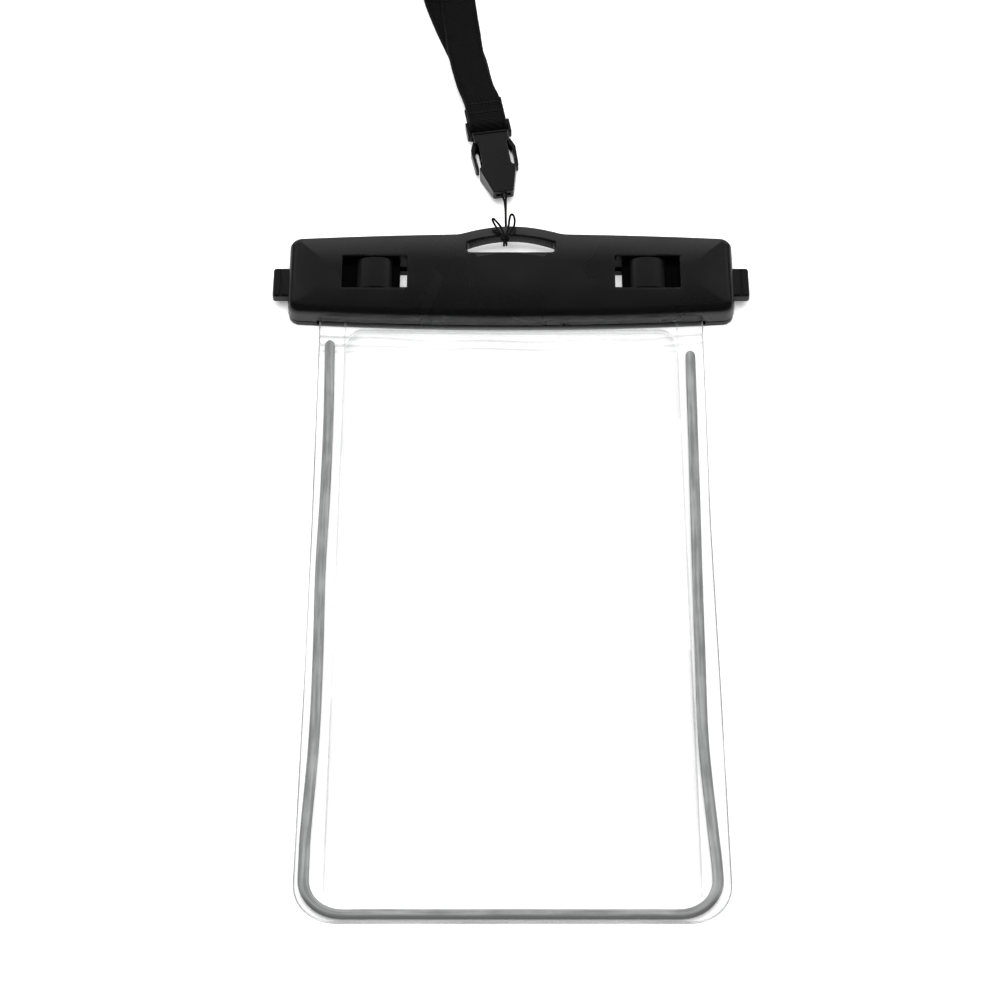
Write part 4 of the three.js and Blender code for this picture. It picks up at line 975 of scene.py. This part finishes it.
def line_distances(x, y):
    """Distances from the rim, the weld, the nearest fold and the line where the film is gathered."""
    left, right = film_edges(y)
    rim = min(x - left, right - x, BOTTOM_RIM_SCALE * (y - POUCH_BOTTOM_Y))
    weld = min(WELD_HALF - abs(x), y - WELD_BOTTOM_Y)
    gathered = y - GATHER_Y + 1.3 * (1 - (x / 45) ** 2) + 0.25 * math.sin(x * 0.23)
    return rim, weld, fold_distance(x, y), gathered


def film_sheet(name, height, columns, rows):
    """A sheet over the film's plan, with the distances that its material reads stored on it."""
    turns = [math.pi / 2 * k / CORNER_ROWS for k in range(CORNER_ROWS)]
    straight = POUCH_BOTTOM_Y + FILM_CORNER_R
    even = rows - CORNER_ROWS
    ys = [POUCH_BOTTOM_Y + FILM_CORNER_R * (1 - math.cos(a)) for a in turns]
    ys += [straight + (FILM_MOUTH_Y - straight) * k / even for k in range(even + 1)]
    plan = []
    for y in ys:
        left, right = film_edges(y)
        plan += [(left + (right - left) * k / columns, y) for k in range(columns + 1)]
    lower = [(x, y, height(x, y)) for x, y in plan]
    upper = [(x, y, z + FILM_T) for x, y, z in lower]
    wide, total = columns + 1, len(lower)
    faces = []
    for j in range(rows):
        for i in range(columns):
            below = [j * wide + i + step for step in (0, wide, wide + 1, 1)]
            faces.append(below)
            faces.append([below[0] + total] + [corner + total for corner in below[:0:-1]])
    loop = list(range(wide)) + [j * wide + columns for j in range(1, rows + 1)]
    loop += [rows * wide + i for i in range(columns - 1, -1, -1)] + [j * wide for j in range(rows - 1, 0, -1)]
    for a, b in zip(loop, loop[1:] + loop[:1]):
        faces.append((a, b, b + total, a + total))
    obj = mesh_object(name, lower + upper, faces, sharp=60)
    stored = [line_distances(x, y) for x, y in plan * 2]
    for label, values in zip(LINE_NAMES, zip(*stored)):
        layer = obj.data.attributes.new(label.lower(), "FLOAT", "POINT")
        layer.data.foreach_set("value", values)
    return obj


front_sheet = film_sheet("film_front", front_height, 120, 190)
rear_sheet = film_sheet("film_rear", rear_height, 60, 100)
print("film faces:", len(front_sheet.data.polygons), len(rear_sheet.data.polygons))

# %% [markdown]
# ## Clear film material
#
# Looked at squarely the film is almost invisible; at a slant, and along its edges and weld lines, it
# shows as thin grey lines. They are painted: a transparent grey surface whose strength follows the
# viewing angle is painted reflection, and does this with clean soft shadows; the grey lines along the
# rim, the folds and the mouth are painted shade, and the weld line also marks the seam itself. Glass
# with refraction was the other way, but two thin sheets of it cast shadows that a real film doesn't.

# %% Film material
lines_group, lines_in, lines_out = new_group(
    "film lines", {label: 9.0 for label in LINE_NAMES}, Lines="Float", Normal="Vector")


def thin_line(label, place, half_width, strength):
    """A soft line where the stored distance equals place."""
    past = math_node(lines_group, "SUBTRACT", lines_in.outputs[label], place)
    away = math_node(lines_group, "ABSOLUTE", past)
    return blend_range(lines_group, away, half_width * 0.4, half_width, strength, 0.0)


# Painted shade: grey lines along the film's rim, its folds and three lines at the mouth under the closure;
# the weld line also marks the seam itself.
seam_and_shade_lines = [
    blend_range(lines_group, lines_in.outputs["Rim"], 0.1, 0.45, 0.38, 0.0),
    thin_line("Weld", 0.0, 0.35, 0.1),
    thin_line("Fold", 0.0, 1.6, 0.1),
    thin_line("Mouth", 0.0, 0.4, 0.28),
    thin_line("Mouth", -2.4, 0.45, 0.22),
    thin_line("Mouth", -4.3, 0.35, 0.14),
]
seam_and_shade = seam_and_shade_lines[0]
for mark in seam_and_shade_lines[1:]:
    seam_and_shade = math_node(lines_group, "MAXIMUM", seam_and_shade, mark)
film_wave = noise(lines_group, texture_place(lines_group), 28.0, 1.0)
broken = blend_range(lines_group, film_wave, 0.35, 0.6, 0.6, 1.0)
connect(math_node(lines_group, "MULTIPLY", seam_and_shade, broken), lines_out.inputs["Lines"])
connect(bump(lines_group, film_wave, 0.15, 0.002), lines_out.inputs["Normal"])


FILM_GREY, LINE_GREY = (0.5, 0.51, 0.51), (0.16, 0.165, 0.17)


def film_material(name, clear, edge):
    made, tree, shader = material(name, FILM_GREY, 0.06)
    lines = use_group(tree, lines_group)
    for label in LINE_NAMES:
        stored = tree.nodes.new("ShaderNodeAttribute")
        stored.attribute_name = label.lower()
        connect(stored.outputs["Fac"], lines.inputs[label])
    # Painted reflection: the grey grows more opaque the more slanting the film is seen; the lines add painted
    # shade, and the weld line marks the seam.
    facing = tree.nodes.new("ShaderNodeLayerWeight")
    facing.inputs["Blend"].default_value = 0.35
    slant = math_node(tree, "POWER", facing.outputs["Facing"], 2.2)
    body = math_node(tree, "MULTIPLY_ADD", slant, edge, clear)
    connect(math_node(tree, "ADD", body, lines.outputs["Lines"], clamp=True), shader.inputs["Alpha"])
    seam_and_shade_share = math_node(tree, "MULTIPLY", lines.outputs["Lines"], 2.0, clamp=True)
    connect(mix_colors(tree, seam_and_shade_share, FILM_GREY, LINE_GREY), shader.inputs["Base Color"])
    connect(lines.outputs["Normal"], shader.inputs["Normal"])
    return made


dress(front_sheet, film_material("front film", 0.03, 0.5), "clear_film", "pouch", "front_film")
dress(rear_sheet, film_material("rear film", 0.02, 0.3), "clear_film", "pouch", "rear_film")
print("film dressed")

# %% [markdown]
# ## The luminous strip
#
# A grey strip that glows in the dark follows the weld on three sides. It was laid by hand, so it
# wanders a little. It is a ribbon with rounded ends.

# %% Luminous strip
STRIP_WIDTH, STRIP_THICKNESS = 2.6, 0.8
LEFT_INSETS = [3.0, 3.45, 3.45, 3.1, 3.4, 3.3, 2.3]
RIGHT_INSETS = [3.7, 3.95, 4.25, 4.6, 4.85, 5.0, 3.8]
LEFT_CORNER_INSETS, RIGHT_CORNER_INSETS = (2.2, 2.2), (3.35, 3.15)


LEFT_TOP_Y, RIGHT_TOP_Y, STRIP_RUN_END_Y, STRIP_CORNER_Y = 68.0, 64.6, -79.45, -86.5
STRIP_BOTTOM_Y = POUCH_BOTTOM_Y + STRIP_WIDTH / 2 + 0.2
STRIP_BEND_R = 9.2


def strip_side(side, top, insets, corner_insets):
    """The strip's middle line down one side and around the corner, measured in from the film's edge."""
    above, inset = corner_insets
    last = len(insets) - 1
    line = [(value, top + (STRIP_RUN_END_Y - top) * k / last) for k, value in enumerate(insets)]
    line.append((above, STRIP_CORNER_Y))
    for a in (math.radians(15 * k) for k in range(7)):
        across, up = STRIP_BEND_R * (1 - math.cos(a)), STRIP_BEND_R * (1 - math.sin(a))
        line.append((inset + across, STRIP_BOTTOM_Y + up))
    return [(side * (FILM_HALF - x), y) for x, y in line]


strip_plan = strip_side(-1, LEFT_TOP_Y, LEFT_INSETS, LEFT_CORNER_INSETS)
strip_plan += [(x, STRIP_BOTTOM_Y) for x in (-33.5, -27, -18, -9, 0, 9, 18, 27, 33.5)]
strip_plan += strip_side(1, RIGHT_TOP_Y, RIGHT_INSETS, RIGHT_CORNER_INSETS)[::-1]


def strip_height(y):
    return mouth_lift(y, FLANGE_Z, FRONT_MOUTH_Z) + FILM_T + GAP + STRIP_THICKNESS / 2


strip_line = catmull([(x, y, strip_height(y)) for x, y in strip_plan], 20)
for _ in range(2):
    strip_line[:1] = [strip_line[0].lerp(strip_line[1], t) for t in (0, 0.04, 0.12, 0.28, 0.5, 0.75)]
    strip_line.reverse()
strip_route = [(centre, heading(strip_line, k).cross(Vector((0, 0, 1))).normalized())
               for k, centre in enumerate(strip_line)]
strip_length = length_of(strip_line)
strip_shares, gone = [], 0.0
for k, centre in enumerate(strip_line):
    gone += (centre - strip_line[k - 1]).length if k else 0
    short = min(clamp(1 - min(gone, strip_length - gone) / (STRIP_WIDTH / 2)), 0.99)
    strip_shares.append(math.sqrt(1 - short * short))
strip = ribbon("glow_strip", strip_route, STRIP_WIDTH, STRIP_THICKNESS, strip_shares)

GLOW_DARK, GLOW_LIGHT, GLOW_PAINTED_SHADE = (0.16, 0.163, 0.163), (0.31, 0.315, 0.313), (0.09, 0.091, 0.092)
glow, glow_tree, glow_shader = material("luminous strip", GLOW_LIGHT, 0.32, Alpha=0.93)
glow_uv = texture_place(glow_tree, "UV")
streaks = noise(glow_tree, stretched(glow_tree, glow_uv, (1.6, 0.05, 1)), 1.0, 3.0)
blotches = noise(glow_tree, stretched(glow_tree, glow_uv, (0.3, 0.12, 1)), 1.0, 4.0)
glow_mask = math_node(glow_tree, "ADD", math_node(glow_tree, "MULTIPLY", streaks, 0.6),
                      math_node(glow_tree, "MULTIPLY", blotches, 0.4))
streaked = mix_colors(glow_tree, blend_range(glow_tree, glow_mask, 0.35, 0.65), GLOW_DARK, GLOW_LIGHT)
# Painted shade: the strip's outer side is drawn darker, a quarter as much along the sides and fully along the
# bottom run.
outer = blend_range(glow_tree, split(glow_tree, glow_uv)["X"], -0.1, 0.9)
glow_y = split(glow_tree, texture_place(glow_tree))["Y"]
lowest = blend_range(glow_tree, glow_y, -0.0955, -0.0995, 0.25, 1.0)
painted_shade_share = math_node(glow_tree, "MULTIPLY", outer, lowest)
connect(mix_colors(glow_tree, painted_shade_share, streaked, GLOW_PAINTED_SHADE), glow_shader.inputs["Base Color"])
connect(bump(glow_tree, blotches, 0.3, 0.0003), glow_shader.inputs["Normal"])
dress(strip, glow, "luminous_strip", "pouch", "luminous_strip")
print("strip length, mm:", round(strip_length, 1))

# %% [markdown]
# ## The buckle
#
# A small side-release buckle. The socket is a tapered shell, open at its sides, with an eye in its
# narrow end for the thin cord; the plug has a tongue, two sprung arms that bow out into the openings,
# and a frame that holds the webbing. Both are extruded outlines with rounded edges, joined and cut.

# %% Buckle
BUCKLE_PLACE = Matrix.Translation((-1.85 * MM, 117.6 * MM, 0)) @ Matrix.Rotation(math.radians(9.3), 4, "Z")
SOCKET_HEIGHT, SOCKET_PLATE = 4.8, 0.9
NOSE_END_Y, NOSE_HEIGHT, NOSE_DRAW = 9.6, 2.8, 0.4
PLUG_Z = (1.2, 3.6)


def mirror_plan(points):
    return points + [(-x, y) for x, y in reversed(points)]


socket_plan = mirror_plan([(2.75, 0.0), (4.95, 9.6), (4.95, 10.4), (3.9, 10.8), (3.9, 19.4),
                           (4.75, 20.2), (4.75, 23.4)])
socket_corners = [0.7, 1.2, 0.38, 0.4, 0.4, 0.4, 0.5]
socket = prism("buckle_body", rounded(socket_plan, socket_corners + socket_corners[::-1]),
               (0, SOCKET_HEIGHT), low=0.25, high=0.25)
mouth_lip = block((-4.9, 4.9), (22.5, 23.3), (0.04, 5.0), 0.38, low=0.2, high=0.25)
socket_room = mirror_plan([(2.15, 3.6), (3.95, 9.6), (5.95, 10.6), (5.95, 24.4)])
eye_z = (SOCKET_HEIGHT / 2 - 0.75, SOCKET_HEIGHT / 2 + 0.75)
carve(socket, add=[mouth_lip], cut=[
    prism("room", socket_room, (SOCKET_PLATE, SOCKET_HEIGHT - SOCKET_PLATE)),
    block((-2, -0.5), (-1, 1.7), eye_z, 0.2),
    block((0.5, 2), (-1, 1.7), eye_z, 0.2),
    block((-2, 2), (1.2, 2.7), eye_z, 0.2),
])
for vertex in socket.data.vertices:
    up, near = vertex.co.z / MM, max(0.0, 1 - vertex.co.y / MM / NOSE_END_Y)
    vertex.co.z = (up + near * (SOCKET_HEIGHT / 2 - up * (1 - NOSE_HEIGHT / SOCKET_HEIGHT))) * MM
    vertex.co.y += NOSE_DRAW * near * MM
socket.data.transform(BUCKLE_PLACE)
dress(socket, buckle_black, "buckle_plastic", "pouch", "buckle_socket")

tongue_plan = rounded(mirror_plan([(0.9, 8.3), (1.5, 9.3), (1.5, 22.7)]), 0.4)
tongue = prism("buckle_insert", tongue_plan, PLUG_Z, low=0.2, high=0.2)
arm = [(3.8, 20.3), (5.1, 17.5), (5.2, 15.9), (4.95, 11.4), (5.0, 10.75), (5.8, 10.75), (5.9, 11.4),
       (6.1, 15.9), (6.2, 17.9), (5.75, 19.5), (4.4, 22.9), (3.3, 22.9)]
left_arm = [(-x, y) for x, y in reversed(arm)]
pieces = [
    block((-4.4, 4.4), (22.3, 23.9), PLUG_Z, 0.35, low=0.2, high=0.2),
    prism("arm", rounded(arm, 0.4), PLUG_Z, low=0.12, high=0.12),
    prism("arm", rounded(left_arm, 0.4), PLUG_Z, low=0.12, high=0.12),
    block((-5.4, 5.4), (23.5, 24.3), (1.1, 3.7), 0.3, low=0.15, high=0.2),
    block((-5.6, 5.6), (26.7, 28.6), (1.55, 3.15), 0.6, low=0.3, high=0.3),
]
for side in (-1, 1):
    pieces.append(block(mirrored(side, (5.2, 6.1)), (23.65, 28.7), PLUG_Z, 0.4, low=0.2, high=0.25))
carve(tongue, add=pieces)
tongue.data.transform(BUCKLE_PLACE)
dress(tongue, buckle_black, "buckle_plastic", "neck_strap", "buckle_plug")
print("buckle faces:", len(socket.data.polygons), len(tongue.data.polygons))

# %% [markdown]
# ## The sewn tab
#
# The strap's ends lie between two plies of webbing that wrap around the plug's bar. Two rows of
# stitches hold them.

# %% Sewn tab and stitches
TAB_ROUTE = [(36.2, 4.05), (31.7, 4.05), (27.7, 4.15), (26.4, 3.9), (25.65, 2.85), (25.65, 1.6),
             (26.4, 0.72), (28.7, 0.6), (31.7, 0.6), (36.2, 0.6)]
tab_line = catmull([(0, u, w) for u, w in TAB_ROUTE], 8)
sewn = ribbon("sewn_tab", [(point, Vector((1, 0, 0))) for point in tab_line], 10.3, 1.0)
sewn.data.transform(BUCKLE_PLACE)
dress(sewn, webbing_black, "webbing", "neck_strap", "strap_sewn_tab")

STITCH_ROWS_Y, STITCH_Z, STITCHES_A_ROW = (31.2, 34.6), 4.6, 9
STITCH_HALF, STITCH_RINGS, RING_POINTS = 0.38, 7, 8
stitch_points, stitch_faces = [], []
for row in STITCH_ROWS_Y:
    for k in range(STITCHES_A_ROW):
        middle = Vector((-4.0 + k, row + 0.12 * math.sin(k * 2.1), STITCH_Z))
        base = len(stitch_points)
        for i in range(STITCH_RINGS):
            slide = -0.36 + 0.12 * i
            bulge = math.sqrt(max(0.02, 1 - (slide / STITCH_HALF) ** 2))
            for turn in (2 * math.pi / RING_POINTS * j for j in range(RING_POINTS)):
                step = (slide, 0.16 * bulge * math.cos(turn), 0.14 * bulge * math.sin(turn))
                stitch_points.append(middle + Vector(step))
        for ring in range(base, len(stitch_points) - RING_POINTS, RING_POINTS):
            for j in range(RING_POINTS):
                a, b = ring + j, ring + (j + 1) % RING_POINTS
                stitch_faces.append((a, b, b + RING_POINTS, a + RING_POINTS))
        last = len(stitch_points) - RING_POINTS
        stitch_faces.append(tuple(base + j for j in reversed(range(RING_POINTS))))
        stitch_faces.append(tuple(last + j for j in range(RING_POINTS)))
stitches = mesh_object("tab_stitches", stitch_points, stitch_faces, sharp=60)
stitches.data.transform(BUCKLE_PLACE)
dress(stitches, thread_black, "webbing", "neck_strap")
print("stitches:", len(stitch_points) // (STITCH_RINGS * RING_POINTS))

# %% [markdown]
# ## Table and light
#
# A plain white table, a broad soft light from above and a lower one behind the closure, which
# brightens the back of the black plastic. The background is white only for the camera, and so is a
# little of the table's own brightness, which keeps it a clean white without more light on the pouch.

# %% Table and light
TABLE_HALF, TABLE_Z = (-3000, 3000), -0.05
table_corners = [(x, y, TABLE_Z) for x, y in rectangle(TABLE_HALF, TABLE_HALF)]
floor = mesh_object("table", table_corners, [(0, 1, 2, 3)])
floor_white, floor_tree, floor_shader = material("table white", (0.93, 0.93, 0.93), 0.7,
                                                 Specular_IOR_Level=0.2, Emission_Color=(1, 1, 1, 1))
floor_seen = floor_tree.nodes.new("ShaderNodeLightPath").outputs["Is Camera Ray"]
connect(math_node(floor_tree, "MULTIPLY", floor_seen, 0.3), floor_shader.inputs["Emission Strength"])
floor.data.materials.append(floor_white)


def area_light(name, place, target, size, watts):
    data = bpy.data.lights.new(name, "AREA")
    data.shape = "RECTANGLE"
    data.size, data.size_y = size
    data.energy = watts
    light = add_object(name, data)
    light.location = place
    light.rotation_euler = (Vector(target) - Vector(place)).to_track_quat("-Z", "Y").to_euler()
    return light


overhead = area_light("overhead", (0.0, -0.1, 1.6), (0, 0, 0), (2.0, 2.0), 54)
overhead.visible_glossy = False
area_light("behind", (0.0, 1.45, 0.86), (0, 0.1, 0), (1.8, 0.4), 4.0)

world = bpy.data.worlds.new("studio")
world.use_nodes = True
bpy.context.scene.world = world
world_tree = world.node_tree
rays = world_tree.nodes.new("ShaderNodeLightPath")
seen = math_node(world_tree, "MAXIMUM", rays.outputs["Is Camera Ray"], rays.outputs["Is Transmission Ray"])
height = split(world_tree, texture_place(world_tree, "Generated"))["Z"]
horizon = world_tree.nodes.new("ShaderNodeCombineColor")
for channel in horizon.inputs:
    connect(blend_range(world_tree, height, 0.02, 0.34, 0.75, 0.05), channel)
sky = mix_colors(world_tree, seen, horizon.outputs["Color"], (1, 1, 1))
connect(sky, world_tree.nodes["Background"].inputs["Color"])
bpy.context.scene.view_settings.view_transform = "Standard"
print("lights:", [light.name for light in bpy.data.lights])
